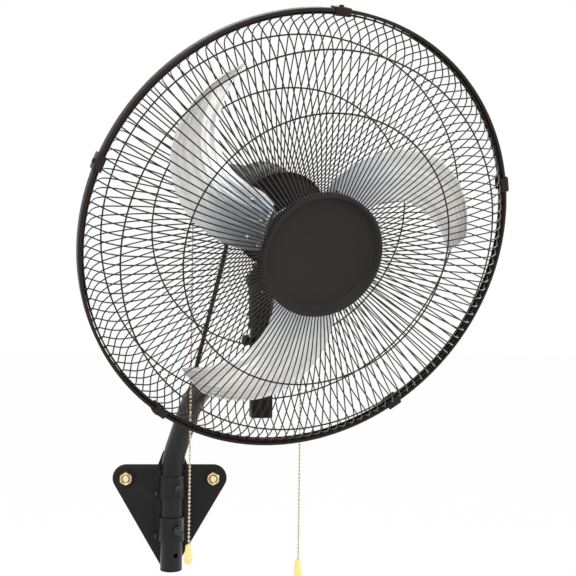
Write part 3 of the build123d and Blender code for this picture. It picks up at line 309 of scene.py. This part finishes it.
def wireTree():
    # one bent wire, turned round the fan's axis
    tree, start = startTree("guardWires", {"Wire Count": "Int", "Wire Radius": "Float", "Sides": "Int",
                                           "First Angle": "Float", "Bend Steps": "Int"})
    line = addNode(tree, "GeometryNodeMeshToCurve", {"Mesh": start["Geometry"]}).outputs[0]
    bend = addNode(tree, "GeometryNodeInputNamedAttribute", {"Name": "bend"}, data_type="FLOAT").outputs[0]
    eased = addNode(tree, "GeometryNodeFilletCurve", {"Curve": line, "Radius": bend,
                                                      "Count": start["Bend Steps"]}, mode="POLY").outputs[0]
    section = addNode(tree, "GeometryNodeCurvePrimitiveCircle", {"Resolution": start["Sides"],
                                                                 "Radius": start["Wire Radius"]}).outputs[0]
    wire = addNode(tree, "GeometryNodeCurveToMesh", {"Curve": eased, "Profile Curve": section,
                                                     "Fill Caps": True}).outputs[0]
    spots = addNode(tree, "GeometryNodePoints", {"Count": start["Wire Count"]}).outputs[0]
    index = addNode(tree, "GeometryNodeInputIndex").outputs[0]
    share = addNode(tree, "ShaderNodeMath", {0: index, 1: start["Wire Count"]}, operation="DIVIDE").outputs[0]
    angle = addNode(tree, "ShaderNodeMath", {0: share, 1: math.tau, 2: start["First Angle"]},
                    operation="MULTIPLY_ADD").outputs[0]
    turn = addNode(tree, "ShaderNodeCombineXYZ", {"Z": angle}).outputs[0]
    fan = addNode(tree, "GeometryNodeInstanceOnPoints", {"Points": spots, "Instance": wire, "Rotation": turn})
    return endTree(tree, start, fan.outputs[0])


def hoopTree():
    # a hoop round the axis at each point's height, as wide as the point's own radius
    tree, start = startTree("guardHoops", {"Hoop Wire": "Float", "Sides": "Int", "Steps": "Int"})
    radius = addNode(tree, "GeometryNodeInputNamedAttribute", {"Name": "hoop"}, data_type="FLOAT").outputs[0]
    spots = addNode(tree, "GeometryNodeMeshToPoints", {"Mesh": start["Geometry"]}).outputs[0]
    circle = addNode(tree, "GeometryNodeCurvePrimitiveCircle", {"Resolution": start["Steps"], "Radius": 1.0})
    size = addNode(tree, "ShaderNodeCombineXYZ", {"X": radius, "Y": radius, "Z": 1.0}).outputs[0]
    hoops = addNode(tree, "GeometryNodeInstanceOnPoints", {"Points": spots, "Instance": circle.outputs[0],
                                                           "Scale": size}).outputs[0]
    lines = addNode(tree, "GeometryNodeRealizeInstances", {"Geometry": hoops}).outputs[0]
    section = addNode(tree, "GeometryNodeCurvePrimitiveCircle", {"Resolution": start["Sides"],
                                                                 "Radius": start["Hoop Wire"]}).outputs[0]
    solid = addNode(tree, "GeometryNodeCurveToMesh", {"Curve": lines, "Profile Curve": section}).outputs[0]
    return endTree(tree, start, solid)


def beadTree():
    # beads spaced along a line, with the thin link wire that runs through them
    tree, start = startTree("beadChain", {"Bead Radius": "Float", "Bead Pitch": "Float",
                                          "Link Radius": "Float"})
    line = addNode(tree, "GeometryNodeMeshToCurve", {"Mesh": start["Geometry"]}).outputs[0]
    spots = addNode(tree, "GeometryNodeResampleCurve", {"Curve": line, "Length": start["Bead Pitch"]},
                    mode="LENGTH").outputs[0]
    bead = addNode(tree, "GeometryNodeMeshUVSphere", {"Segments": 8, "Rings": 6,
                                                      "Radius": start["Bead Radius"]}).outputs[0]
    beads = addNode(tree, "GeometryNodeInstanceOnPoints", {"Points": spots, "Instance": bead}).outputs[0]
    section = addNode(tree, "GeometryNodeCurvePrimitiveCircle", {"Resolution": 6,
                                                                 "Radius": start["Link Radius"]}).outputs[0]
    link = addNode(tree, "GeometryNodeCurveToMesh", {"Curve": line, "Profile Curve": section,
                                                     "Fill Caps": True}).outputs[0]
    both = addNode(tree, "GeometryNodeJoinGeometry")
    tree.links.new(beads, both.inputs[0])
    tree.links.new(link, both.inputs[0])
    return endTree(tree, start, both.outputs[0])


def headTree():
    # the same fastener head at every point
    tree, start = startTree("fastenerHeads", {"Head": "Object"})
    head = addNode(tree, "GeometryNodeObjectInfo", {"Object": start["Head"]}).outputs["Geometry"]
    spots = addNode(tree, "GeometryNodeMeshToPoints", {"Mesh": start["Geometry"]}).outputs[0]
    heads = addNode(tree, "GeometryNodeInstanceOnPoints", {"Points": spots, "Instance": head})
    return endTree(tree, start, heads.outputs[0])


def bakePiece(piece):
    # what the modifiers make becomes the piece's plain mesh
    graph = bpy.context.evaluated_depsgraph_get()
    baked = bpy.data.meshes.new_from_object(piece.evaluated_get(graph), depsgraph=graph)
    piece.modifiers.clear()
    piece.data = baked
    return baked


def grow(name, tree, points, edges, values, inputs, place=None):
    # points and edges carry per-point values into the tree; its result is kept as a plain mesh
    base = bpy.data.meshes.new(name)
    base.from_pydata(points, edges, [])
    for label, numbers in values.items():
        layer = base.attributes.new(label, "FLOAT", "POINT")
        for item, number in zip(layer.data, numbers):
            item.value = number
    piece = addPiece(name, base)
    grower = piece.modifiers.new("grow", "NODES")
    grower.node_group = tree
    for item in tree.interface.items_tree:
        if item.item_type == "SOCKET" and item.in_out == "INPUT" and item.name in inputs:
            grower[item.identifier] = inputs[item.name]
    grown = bakePiece(piece)
    if place:
        grown.transform(place)
    return piece


# shapes turned round an axis, and softened copies of pressed and machined parts
softening = {"bendRuns": 3, "merge": 2e-6, "flat": 0.8, "corner": 35, "crease": 38, "rings": 2}   # m, degrees


def easedOutline(corners):
    # (radius, height, bend) corners, each with a bend rounded by a few short runs
    out = []
    for before, (r, h, bend), after in zip(corners[-1:] + corners[:-1], corners, corners[1:] + corners[:1]):
        spot = Vector((r, h))
        if not bend:
            out.append(spot)
            continue
        back, ahead = (Vector(p[:2]) - spot for p in (before, after))
        start, end = spot + back.normalized() * bend, spot + ahead.normalized() * bend
        for step in range(softening["bendRuns"] + 1):
            t = step / softening["bendRuns"]
            out.append(start.lerp(spot, t).lerp(spot.lerp(end, t), t))
    return out


def turnedMesh(name, corners, steps, finish, place=None):
    # the outline is closed, so the result is a shell with walls, or a solid where it touches the axis
    outline = easedOutline(corners)
    build = bmesh.new()
    rings = []
    for spot in outline:
        if spot.x < 1e-6:
            rings.append([build.verts.new((0, 0, spot.y))] * steps)
            continue
        turns = [math.tau * n / steps for n in range(steps)]
        rings.append([build.verts.new((spot.x * math.cos(a), spot.x * math.sin(a), spot.y)) for a in turns])
    for low, high in zip(rings, rings[1:] + rings[:1]):
        for n in range(steps):
            corner = (low[n], low[(n + 1) % steps], high[(n + 1) % steps], high[n])
            loop = [v for k, v in enumerate(corner) if v not in corner[:k]]
            if len(loop) > 2:
                build.faces.new(loop)
    bmesh.ops.recalc_face_normals(build, faces=build.faces)
    mesh = bpy.data.meshes.new(name)
    build.to_mesh(mesh)
    build.free()
    mesh.shade_smooth()
    mesh.set_sharp_from_angle(angle=math.radians(softening["crease"]))
    mesh.materials.append(finish)
    if place:
        mesh.transform(place)
    return mesh


def mergedCopy(node):
    build = bmesh.new()
    build.from_mesh(frame["nodes"][node].data)
    bmesh.ops.remove_doubles(build, verts=build.verts, dist=softening["merge"])
    return build


def camelName(node):
    first, *others = node.split("_")
    return first + "".join(word.capitalize() for word in others)


def softened(node, edge, finish=None):
    # the same part with its hard edges rounded off
    name = camelName(node)
    build = mergedCopy(node)
    flat = math.radians(softening["flat"])
    bmesh.ops.dissolve_limit(build, angle_limit=flat, verts=build.verts, edges=build.edges)
    mesh = bpy.data.meshes.new(name)
    build.to_mesh(mesh)
    build.free()
    mesh.materials.append(finish or finishOf[slotOf[node]])
    piece = addPiece(name, mesh)
    mesh.shade_smooth()
    rounder = piece.modifiers.new("round", "BEVEL")
    rounder.width = edge
    rounder.segments = softening["rings"]
    rounder.limit_method = "ANGLE"
    rounder.angle_limit = math.radians(softening["corner"])
    rounder.use_clamp_overlap = False
    rounder.loop_slide = False
    bakePiece(piece).set_sharp_from_angle(angle=math.radians(softening["crease"]))
    return standFor(piece, node)


def islandsOf(node, place):
    # each separate solid's lowest and highest corner, in the given place
    build = mergedCopy(node)
    unseen, out = set(build.verts), []
    back = place.inverted()
    while unseen:
        group, rim = [], [unseen.pop()]
        while rim:
            vert = rim.pop()
            group.append(back @ vert.co)
            for edge in vert.link_edges:
                other = edge.other_vert(vert)
                if other in unseen:
                    unseen.discard(other)
                    rim.append(other)
        out.append([Vector([pick(p[k] for p in group) for k in range(3)]) for pick in (min, max)])
    build.free()
    return out


# cords first: the power lead from the gearbox to the arm, in two lengths that meet at the tilt
leadRoute = {"diameter": 0.0058, "corners": [(0.07351, -0.20643, 0.325), (0.03726, -0.09357, 0.169)],
             "sides": 12, "rings": 64, "meet": 0.42, "endDepth": 0.003,
             "boot": {"length": 0.024, "wide": 0.0052, "narrow": 0.0036, "rib": 0.0004,
                      "rings": 28, "sides": 20}}


def routeSpline(name, points):
    data = bpy.data.curves.new(name, "CURVE")
    data.dimensions = "3D"
    data.resolution_u = 16
    spline = data.splines.new("NURBS")
    spline.points.add(len(points) - 1)
    for item, spot in zip(spline.points, points):
        item.co = (*spot, 1)
    spline.order_u = 3
    spline.use_endpoint_u = True
    holder = bpy.data.objects.new(name, data)
    line = [v.co.copy() for v in bpy.data.meshes.new_from_object(holder).vertices]
    bpy.data.objects.remove(holder)
    bpy.data.curves.remove(data)
    return line


def spacedLine(line, count):
    # the route's points again, evenly spaced
    lengths = [0]
    for a, b in zip(line, line[1:]):
        lengths.append(lengths[-1] + (b - a).length)
    out, k = [], 0
    for n in range(count):
        goal = lengths[-1] * n / (count - 1)
        while k < len(line) - 2 and lengths[k + 1] < goal:
            k += 1
        out.append(line[k].lerp(line[k + 1], (goal - lengths[k]) / (lengths[k + 1] - lengths[k])))
    return out


def tubeMesh(name, path, radii, sides, finish):
    # rings square to the path, one radius each, carried along it without twist
    mesh = bpy.data.meshes.new(name)
    build = bmesh.new()
    ahead = (path[1] - path[0]).normalized()
    side = ahead.orthogonal().normalized()
    rings, runs = [], []
    far = 0
    for k, spot in enumerate(path):
        ahead = (path[min(k + 1, len(path) - 1)] - path[max(k - 1, 0)]).normalized()
        side = (side - ahead * side.dot(ahead)).normalized()
        other = ahead.cross(side)
        far += (spot - path[k - 1]).length if k else 0
        turns = [math.tau * n / sides for n in range(sides)]
        arms = [side * math.cos(a) + other * math.sin(a) for a in turns]
        rings.append([build.verts.new(spot + arm * radii[k]) for arm in arms])
        runs.append(far)
    layer = build.loops.layers.uv.new("along")
    for k, (low, high) in enumerate(zip(rings, rings[1:])):
        for n in range(sides):
            face = build.faces.new((low[n], low[(n + 1) % sides], high[(n + 1) % sides], high[n]))
            for loop, u, v in zip(face.loops, (k, k, k + 1, k + 1), (n, n + 1, n + 1, n)):
                loop[layer].uv = (runs[u], v / sides)
    build.faces.new(rings[0][::-1])
    build.faces.new(rings[-1])
    bmesh.ops.recalc_face_normals(build, faces=build.faces)
    build.to_mesh(mesh)
    build.free()
    mesh.shade_smooth()
    mesh.set_sharp_from_angle(angle=math.radians(50))
    mesh.materials.append(finish)
    return mesh


def leadBoot(settings, path):
    # the ribbed rubber sleeve that narrows along the lead where it leaves the gearbox
    far = [(spot - path[0]).length for spot in path]
    count = sum(d < settings["length"] for d in far)
    line = spacedLine(path[:count + 1], settings["rings"])
    radii = []
    for k in range(settings["rings"]):
        share = k / (settings["rings"] - 1)
        groove = settings["rib"] if k % 4 in (2, 3) else 0
        radii.append(settings["wide"] + (settings["narrow"] - settings["wide"]) * share - groove)
    boot = addPiece("leadBoot", tubeMesh("leadBoot", line, radii, settings["sides"], softRubber))
    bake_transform(boot)
    return boot


def powerLead(settings):
    first, last = (Vector(p) for p in settings["corners"])
    tubeSpots = [v.co for v in frame["nodes"]["power_lead"].data.vertices]
    levels = [pick(p.z for p in tubeSpots) for pick in (max, min)]
    ends = [[p for p in tubeSpots if abs(p.z - level) < settings["endDepth"]] for level in levels]
    start, end = (sum(spots, Vector()) / len(spots) for spots in ends)
    run = (last - first).normalized()
    points = [start, first, first + run * (first - start).length, last - run * (end - last).length, last, end]
    line = spacedLine(routeSpline("leadRoute", points), settings["rings"])
    cut = round(settings["meet"] * (settings["rings"] - 1))
    halves = {"powerLeadUpper": (line[:cut + 1], "head", "neck"),
              "powerLeadLower": (line[cut:], "neck", "arm")}
    made = {}
    for name, (path, upper, lower) in halves.items():
        mesh = tubeMesh(name, path, [settings["diameter"] / 2] * len(path), settings["sides"], softRubber)
        piece = addPiece(name, mesh)
        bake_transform(piece)
        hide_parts("power_lead")
        made[name] = (piece, path)
    boot = leadBoot(settings["boot"], made["powerLeadUpper"][1])
    return line


leadLine = powerLead(leadRoute)
print("power lead laid:", round(sum((b - a).length for a, b in zip(leadLine, leadLine[1:])), 3), "m")


# pull chains and their knobs
chain = {"pitch": 0.0048, "link": 0.0006, "stiffness": "limp", "pathSteps": 60}
knob = {"steps": 28,        # the shape is in shares of the knob's own half width and height
        "shape": [(0, 0), (0.54, 0), (0.63, -0.02), (0.67, -0.06), (0.8, -0.32), (0.93, -0.56), (0.99, -0.67),
                  (1.0, -0.74), (0.98, -0.83), (0.92, -0.92), (0.84, -0.975), (0.74, -1), (0.3, -1),
                  (0.26, -0.97), (0, -0.97)]}
beads = beadTree()


def pullChain(chainNode, knobNode, name):
    low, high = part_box(chainNode)
    x, y, radius = (low.x + high.x) / 2, (low.y + high.y) / 2, (high.x - low.x) / 2
    steps = chain["pathSteps"]
    path = [Vector((x, y, high.z)).lerp(Vector((x, y, low.z)), n / steps) for n in range(steps + 1)]
    knobLow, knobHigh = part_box(knobNode)
    wide, tall = (knobHigh.x - knobLow.x) / 2, knobHigh.z - knobLow.z
    count = round((high.z - low.z) / chain["pitch"])
    piece = grow(name + "Chain", beads, [path[0] - Vector((0, 0, radius)), path[-1]], [(0, 1)], {},
                 {"Bead Radius": radius, "Bead Pitch": (high.z - low.z - radius) / count,
                  "Link Radius": chain["link"], "Material": beadBrass})
    standFor(piece, chainNode)
    outline = [(r * wide, h * tall, 0) for r, h in knob["shape"]]
    middle = Vector((x, y, knobHigh.z))
    bell = addPiece(name + "Knob", turnedMesh(name + "Knob", outline, knob["steps"], knobCream,
                                              Matrix.Translation(middle)))
    standFor(bell, knobNode)


pullChain("turning_chain", "turning_knob", "turning")
pullChain("speed_chain", "speed_knob", "speed")
print("chains hung")


# guards: spokes, hoops, channel rim and clips
guard = {"count": 132, "wire": 0.00075, "hoopWire": 0.0009, "sides": 6, "bendSteps": 5, "hoopSteps": 120,
         "weld": 0.00015, "foot": (0.2405, 0.0046), "end": (-0.0015, 0.0039), "rimHoop": 0.0054,
         "bends": (0.2, 0.04, 0.0042)}
guardSide = {"front": {"side": 1, "hub": (0.0648, 0.0486), "crown": (0.129, 0.0518),
                       "shoulder": (0.2223, 0.035), "hoops": (0.1503, 0.2115), "first": 0},
             "rear": {"side": -1, "hub": (0.052, 0.076), "crown": (0.149, 0.0725),
                      "shoulder": (0.2245, 0.0456), "hoops": (0.154, 0.2145), "first": 0.5}}
spokes, hoops = wireTree(), hoopTree()


def buildGuard(name, half):
    side = half["side"]
    ends = (half["hub"], half["crown"], half["shoulder"], guard["foot"],
            (rimRadius + guard["end"][0], guard["end"][1]))
    points = [(r, 0, rimAhead + side * h) for r, h in ends]
    runs = [(k, k + 1) for k in range(len(points) - 1)]
    wires = grow(name + "GuardWires", spokes, points, runs, {"bend": (0, *guard["bends"], 0)},
                 {"Wire Count": guard["count"], "Wire Radius": guard["wire"], "Sides": guard["sides"],
                  "Bend Steps": guard["bendSteps"], "First Angle": math.tau / guard["count"] * half["first"],
                  "Material": wireCoat}, headPlace)
    standFor(wires, name + "_guard_wires")
    touch = guard["wire"] + guard["hoopWire"] - guard["weld"]
    (r0, h0), (r1, h1) = half["crown"], half["shoulder"]
    slope = (h1 - h0) / (r1 - r0)
    drop = touch * math.hypot(1, slope)
    spots = [(0, 0, rimAhead + side * (h0 + slope * (r - r0) - drop)) for r in half["hoops"]]
    (footR, footH), (endR, endH) = ends[3], ends[4]
    rise = (footH - endH) * (endR - rimRadius + guard["rimHoop"]) / (endR - footR)
    spots.append((0, 0, rimAhead + side * (endH + rise - touch)))
    radii = (*half["hoops"], rimRadius - guard["rimHoop"])
    rings = grow(name + "GuardHoops", hoops, spots, (), {"hoop": radii},
                 {"Hoop Wire": guard["hoopWire"], "Sides": 8, "Steps": guard["hoopSteps"],
                  "Material": wireCoat}, headPlace)
    standFor(rings, name + "_guard_rings")


for name, half in guardSide.items():
    buildGuard(name, half)

rim = {"flange": 0.0036, "wall": 0.001, "bend": 0.0016, "inner": 0.0007, "lip": 0.0003, "steps": 180}


def channelRim():
    r, w, half = rimRadius, rim["wall"], (rimHigh.z - rimLow.z) / 2
    lip, outer, inner, edge = r - rim["flange"], rim["bend"], rim["inner"], rim["lip"]
    corners = [(lip, -half, edge), (r, -half, outer), (r, half, outer), (lip, half, edge),
               (lip, half - w, edge), (r - w, half - w, inner), (r - w, -half + w, inner),
               (lip, -half + w, edge)]
    place = headPlace @ Matrix.Translation((0, 0, rimAhead))
    mesh = turnedMesh("channelRim", corners, rim["steps"], rimCoat, place)
    standFor(addPiece("channelRim", mesh), "rim_hoop")


channelRim()
softened("rim_clips", 0.0004, rimCoat)
softened("rear_guard_plate", 0.0003)
softened("guard_nut", 0.0004)
print("guards built")


# centre cap: a dished disc with rounded lips
cap = {"lip": 0.0036, "slope": 0.0046, "sink": 0.0086, "wall": 0.0016, "inset": 0.0009, "steps": 144,
       "bends": (0, 0.0016, 0.0008, 0.0012, 0.0003, 0.0003, 0.0006, 0.0005, 0.0008, 0)}


def centreCap():
    low, high = headSpan("centre_cap")
    r, top, w = high.x, high.z, cap["wall"]
    lip, floor = r - cap["lip"], top - cap["sink"]
    bottom = lip - cap["slope"]
    spots = [(0, floor), (bottom, floor), (lip, top), (r, top), (r, low.z), (r - w, low.z), (r - w, top - w),
             (lip + cap["inset"], top - w), (bottom + cap["inset"], floor - w), (0, floor - w)]
    corners = [(*spot, bend) for spot, bend in zip(spots, cap["bends"])]
    mesh = turnedMesh("centreCap", corners, cap["steps"], capSkin, headPlace)
    standFor(addPiece("centreCap", mesh), "centre_cap")


centreCap()
print("cap turned")


# blades: curved sickles of pressed sheet with one long crease
blade = {"stations": ((46, 137.0, 46, 199.0), (62, 138.5, 60, 196.0), (85, 143.5, 85, 189.5),
                      (108, 144.5, 110, 181.5), (130, 142.0, 135, 174.0), (150, 137.5, 158, 165.5),
                      (167, 132.0, 178, 157.0), (182, 126.0, 193, 147.0), (192, 121.5, 202, 137.0),
                      (200, 118.0, 206, 126.0)),
         "front": -0.006, "back": -0.030, "rootBack": -0.026, "twistEnd": 0.106, "belly": 0.002,
         "crease": 0.43, "creaseRise": 0.0042, "creaseFrom": 1.6, "creaseIn": 2,
         "creaseTo": 8.2, "creaseOut": 1.6, "thick": 0.0012, "edge": 0.00045, "spanSteps": 54,
         "chordSteps": 20}      # stations: mm and degrees of the leading edge, then of the trailing edge


def smoothStep(t):
    t = min(1, max(0, t))
    return t * t * (3 - 2 * t)


def curvedRow(rows, place):
    # a row between stations, on a smooth curve through all of them
    k = min(int(place), len(rows) - 2)
    t = place - k
    near = [rows[min(max(k + n, 0), len(rows) - 1)] for n in (-1, 0, 1, 2)]
    out = []
    for a, b, c, d in zip(*near):
        out.append(0.5 * (2 * b + (c - a) * t + (2 * a - 5 * b + 4 * c - d) * t * t
                          + (3 * b - a - 3 * c + d) * t ** 3))
    return out


def bladeSpot(place, share):
    leadR, leadAngle, trailR, trailAngle = curvedRow(blade["stations"], place)
    r = (leadR + (trailR - leadR) * share) / 1000
    angle = math.radians(leadAngle + (trailAngle - leadAngle) * share)
    root = blade["stations"][0][0] / 1000
    depth = min(1, (r - root) / (blade["twistEnd"] - root))
    back = blade["rootBack"] + (blade["back"] - blade["rootBack"]) * depth
    peak = blade["crease"]
    folded = share / peak if share < peak else (1 - share) / (1 - peak)
    belly = 4 * share * (1 - share) * blade["belly"]
    foldIn = smoothStep((place - blade["creaseFrom"]) / blade["creaseIn"])
    fold = foldIn * smoothStep((blade["creaseTo"] - place) / blade["creaseOut"])
    rise = back + (blade["front"] - back) * share + belly + (folded * blade["creaseRise"] - belly) * fold
    return Vector((r * math.cos(angle), r * math.sin(angle), rimAhead + rise))


def bladeMesh(name, turn):
    long, wide = blade["spanSteps"], blade["chordSteps"]
    last = len(blade["stations"]) - 1
    peak = blade["crease"]
    creaseStep = round(peak * wide)
    shares = []
    for n in range(wide + 1):
        if n <= creaseStep:
            shares.append(peak * n / creaseStep)
        else:
            shares.append(peak + (1 - peak) * (n - creaseStep) / (wide - creaseStep))
    build = bmesh.new()
    grid = [[build.verts.new(bladeSpot(last * m / long, s)) for s in shares] for m in range(long + 1)]
    layer = build.loops.layers.uv.new("sheet")
    for m in range(long):
        for n in range(wide):
            face = build.faces.new((grid[m][n], grid[m][n + 1], grid[m + 1][n + 1], grid[m + 1][n]))
            for loop, u, v in zip(face.loops, (m, m, m + 1, m + 1), (n, n + 1, n + 1, n)):
                loop[layer].uv = (u / long, shares[v])
    bmesh.ops.recalc_face_normals(build, faces=build.faces)
    if sum(f.normal.z for f in build.faces) < 0:
        bmesh.ops.reverse_faces(build, faces=build.faces)
    mesh = bpy.data.meshes.new(name)
    build.to_mesh(mesh)
    build.free()
    mesh.transform(headPlace @ Matrix.Rotation(turn, 4, "Z"))
    mesh.shade_smooth()
    mesh.materials.append(bladeMetal)
    piece = addPiece(name, mesh)
    wall = piece.modifiers.new("wall", "SOLIDIFY")
    wall.thickness = blade["thick"]
    wall.offset = 1
    wall.use_even_offset = True
    rounder = piece.modifiers.new("round", "BEVEL")
    rounder.width = blade["edge"]
    rounder.segments = 2
    rounder.limit_method = "ANGLE"
    rounder.angle_limit = math.radians(50)
    bakePiece(piece).set_sharp_from_angle(angle=math.radians(60))
    return piece


for n in range(3):
    standFor(bladeMesh(f"blade{n + 1}", math.radians(-120 * n)), f"blade_{n + 1}")
softened("blade_spider", 0.0004)
softened("spinner_nut", 0.0003)
print("blades pressed")


# rivets and screws, one head each, set where the solids are
heads = headTree()


def fasten(name, node, corners, finish, place):
    # one head on the high end of each solid, in that place's own z
    head = addPiece(name + "Head", turnedMesh(name + "Head", corners, 16, finish))
    spots = [((low.x + high.x) / 2, (low.y + high.y) / 2, high.z) for low, high in islandsOf(node, place)]
    piece = grow(name, heads, spots, (), {}, {"Head": head, "Material": finish}, place)
    bpy.data.objects.remove(head)
    return standFor(piece, node)


bladeRivet = {"dome": 0.003, "domeTall": 0.0032, "shoulder": 0.9, "crown": 0.0012, "shank": 0.0018,
              "tail": 0.003, "tailTall": 0.0015, "bends": (0.0002, 0.0003, 0.0005)}


def bladeRivets():
    low, high = islandsOf("blade_rivets", headPlace)[0]
    deep = low.z - high.z
    dome, shank, tail, crown = (bladeRivet[key] for key in ("dome", "shank", "tail", "crown"))
    under, upset = -bladeRivet["domeTall"], deep + bladeRivet["tailTall"]
    brim, collar, foot = bladeRivet["bends"]
    corners = [(0, 0, 0), (bladeRivet["shoulder"] * dome, -crown, crown), (dome, under, brim),
               (shank, under, 0), (shank, upset, 0), (tail, upset, collar), (tail, deep, foot), (0, deep, 0)]
    fasten("bladeRivets", "blade_rivets", corners, brightSteel, headPlace)


bladeRivets()
wallOut = Matrix(((1, 0, 0), (0, 0, -1), (0, 1, 0))).to_4x4()       # z is straight out of the wall
plateRivet = {"head": 0.0032, "tall": 0.002, "stem": 0.002, "dome": ((0.55, 0.1), (0.88, 0.5)),
              "bend": 0.0005, "brim": 0.0001}


def plateRivets():
    low, high = islandsOf("bracket_rivets", wallOut)[0]
    deep, wide, tall, stem = low.z - high.z, plateRivet["head"], plateRivet["tall"], plateRivet["stem"]
    dome = [(r * wide, -h * tall, plateRivet["bend"]) for r, h in plateRivet["dome"]]
    corners = [(0, 0, 0), *dome, (wide, -tall, plateRivet["brim"]), (stem, -tall, 0), (stem, deep, 0),
               (0, deep, 0)]
    fasten("bracketRivets", "bracket_rivets", corners, darkSteel, wallOut)


plateRivets()
softened("gearbox_screws", 0.0002)
softened("clamp_screws", 0.0003)
print("rivets set")


# wall plate, bolts, bracket and arm
nutFace = {"edge": 0.0003, "end": 0.0048, "ring": 0.0064, "deep": 0.004}


def wallNuts():
    # painted highlight and shade: the stud's turned end is painted brighter than the nut as a glint, and the
    # hollow round it is painted dark as shade
    nuts = softened("wall_bolts", nutFace["edge"])
    for finish in (studEnd, nutHollow):
        nuts.data.materials.append(finish)
    middles = [(low + high) / 2 for low, high in islandsOf("wall_bolts", Matrix.Identity(4))]
    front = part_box("wall_bolts")[0].y
    for face in nuts.data.polygons:
        spot = face.center
        far = min(math.hypot(spot.x - m.x, spot.z - m.z) for m in middles)
        facesOut = face.normal.y < -0.1
        if facesOut and spot.y < front + nutFace["deep"] and far < nutFace["ring"]:
            face.material_index = 1 if far < nutFace["end"] else 2


softened("wall_plate", 0.0007)
wallNuts()
armEdges = {"bolt_washers": 0.0003, "arm_bracket": 0.0005, "clamp_bands": 0.0004, "arm_tube": 0.0003,
            "tube_plug": 0.0006, "arm_socket": 0.0005, "post_tube": 0.0003, "post_collar": 0.0004,
            "set_screw": 0.0002, "tilt_fork": 0.0005, "tilt_bolt": 0.0003, "neck_bracket": 0.0005,
            "link_rod": 0.0004}
for node, edge in armEdges.items():
    softened(node, edge)
print("arm and post softened")

# motor, gearbox and switch box
housingEdges = {"motor_front_shell": 0.0005, "motor_rear_shell": 0.0005, "gearbox_case": 0.0005,
                "gearbox_cover": 0.0005, "switch_box": 0.0002, "clutch_lever": 0.0003}
for node, edge in housingEdges.items():
    softened(node, edge)
print("motor housing softened")


# floor, light and background
stage = {"floor": -0.75, "size": 30, "sheet": 0.93, "world": 0.9, "plain": 0.94}


def plainSight(tree):
    # 1 where the camera looks, straight, in gloss or through glass; 0 for what lights the object
    path = addNode(tree, "ShaderNodeLightPath").outputs
    seen = addNode(tree, "ShaderNodeMath", {0: path["Is Camera Ray"], 1: path["Is Glossy Ray"]},
                   operation="MAXIMUM").outputs[0]
    seen = addNode(tree, "ShaderNodeMath", {0: seen, 1: path["Is Transmission Ray"]}, operation="MAXIMUM")
    return seen.outputs[0]


def studioFloor():
    half = stage["size"] / 2
    mesh = bpy.data.meshes.new("floor")
    corners = [(-half, -half, 0), (half, -half, 0), (half, half, 0), (-half, half, 0)]
    mesh.from_pydata(corners, [], [(0, 1, 2, 3)])
    mesh.transform(Matrix.Translation((0, 0, stage["floor"])))
    material = bpy.data.materials.new("floorPaper")
    material.use_nodes = True
    tree = material.node_tree
    shader = tree.nodes["Principled BSDF"]
    shader.inputs["Base Color"].default_value = (stage["sheet"],) * 3 + (1,)
    shader.inputs["Roughness"].default_value = 0.9
    share = addNode(tree, "ShaderNodeMath", {0: plainSight(tree), 1: stage["plain"]}, operation="MULTIPLY")
    paper = addNode(tree, "ShaderNodeEmission", {"Color": (1, 1, 1, 1), "Strength": 1.0}).outputs[0]
    both = addNode(tree, "ShaderNodeMixShader", {0: share.outputs[0], 1: shader.outputs[0], 2: paper})
    tree.links.new(both.outputs[0], tree.nodes["Material Output"].inputs["Surface"])
    mesh.materials.append(material)
    floor = addPiece("floor", mesh)
    floor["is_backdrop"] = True


def studioWorld():
    world = bpy.data.worlds.new("studio")
    bpy.context.scene.world = world
    world.use_nodes = True
    tree = world.node_tree
    tree.nodes.clear()
    level = addNode(tree, "ShaderNodeMapRange", {"Value": plainSight(tree), "To Min": stage["world"],
                                                 "To Max": 1.0}).outputs[0]
    sky = addNode(tree, "ShaderNodeBackground", {"Color": (1, 1, 1, 1), "Strength": level}).outputs[0]
    addNode(tree, "ShaderNodeOutputWorld", {"Surface": sky})


lamps = {"keyLamp": {"spot": (-0.47, -2.68, 1.8), "size": 1.4, "power": 46},
         "fillLamp": {"spot": (2.32, -0.65, 0.9), "size": 1.6, "power": 22},
         "edgeLamp": {"spot": (1.7, 0.9, 0.1), "size": 1.0, "power": 14},
         "backLamp": {"spot": (-0.08, 1.52, 1.8), "size": 1.2, "power": 10}}


def addLamp(name, settings):
    data = bpy.data.lights.new(name, "AREA")
    data.size = settings["size"]
    data.energy = settings["power"]
    lamp = bpy.data.objects.new(name, data)
    bpy.context.scene.collection.objects.link(lamp)
    low, high = cadBox
    aim = (low + high) / 2 - Vector(settings["spot"])
    turn = aim.to_track_quat("-Z", "Y").to_matrix().to_4x4()
    lamp.matrix_world = Matrix.Translation(settings["spot"]) @ turn


studioFloor()
studioWorld()
for name, settings in lamps.items():
    addLamp(name, settings)
bpy.context.scene.view_settings.view_transform = "Standard"
print("stage lit")

triangles = {}
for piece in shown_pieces():
    piece.data.calc_loop_triangles()
    triangles[piece.name] = len(piece.data.loop_triangles)
print("triangles:", sum(triangles.values()), sorted(triangles.items(), key=lambda item: -item[1])[:6])
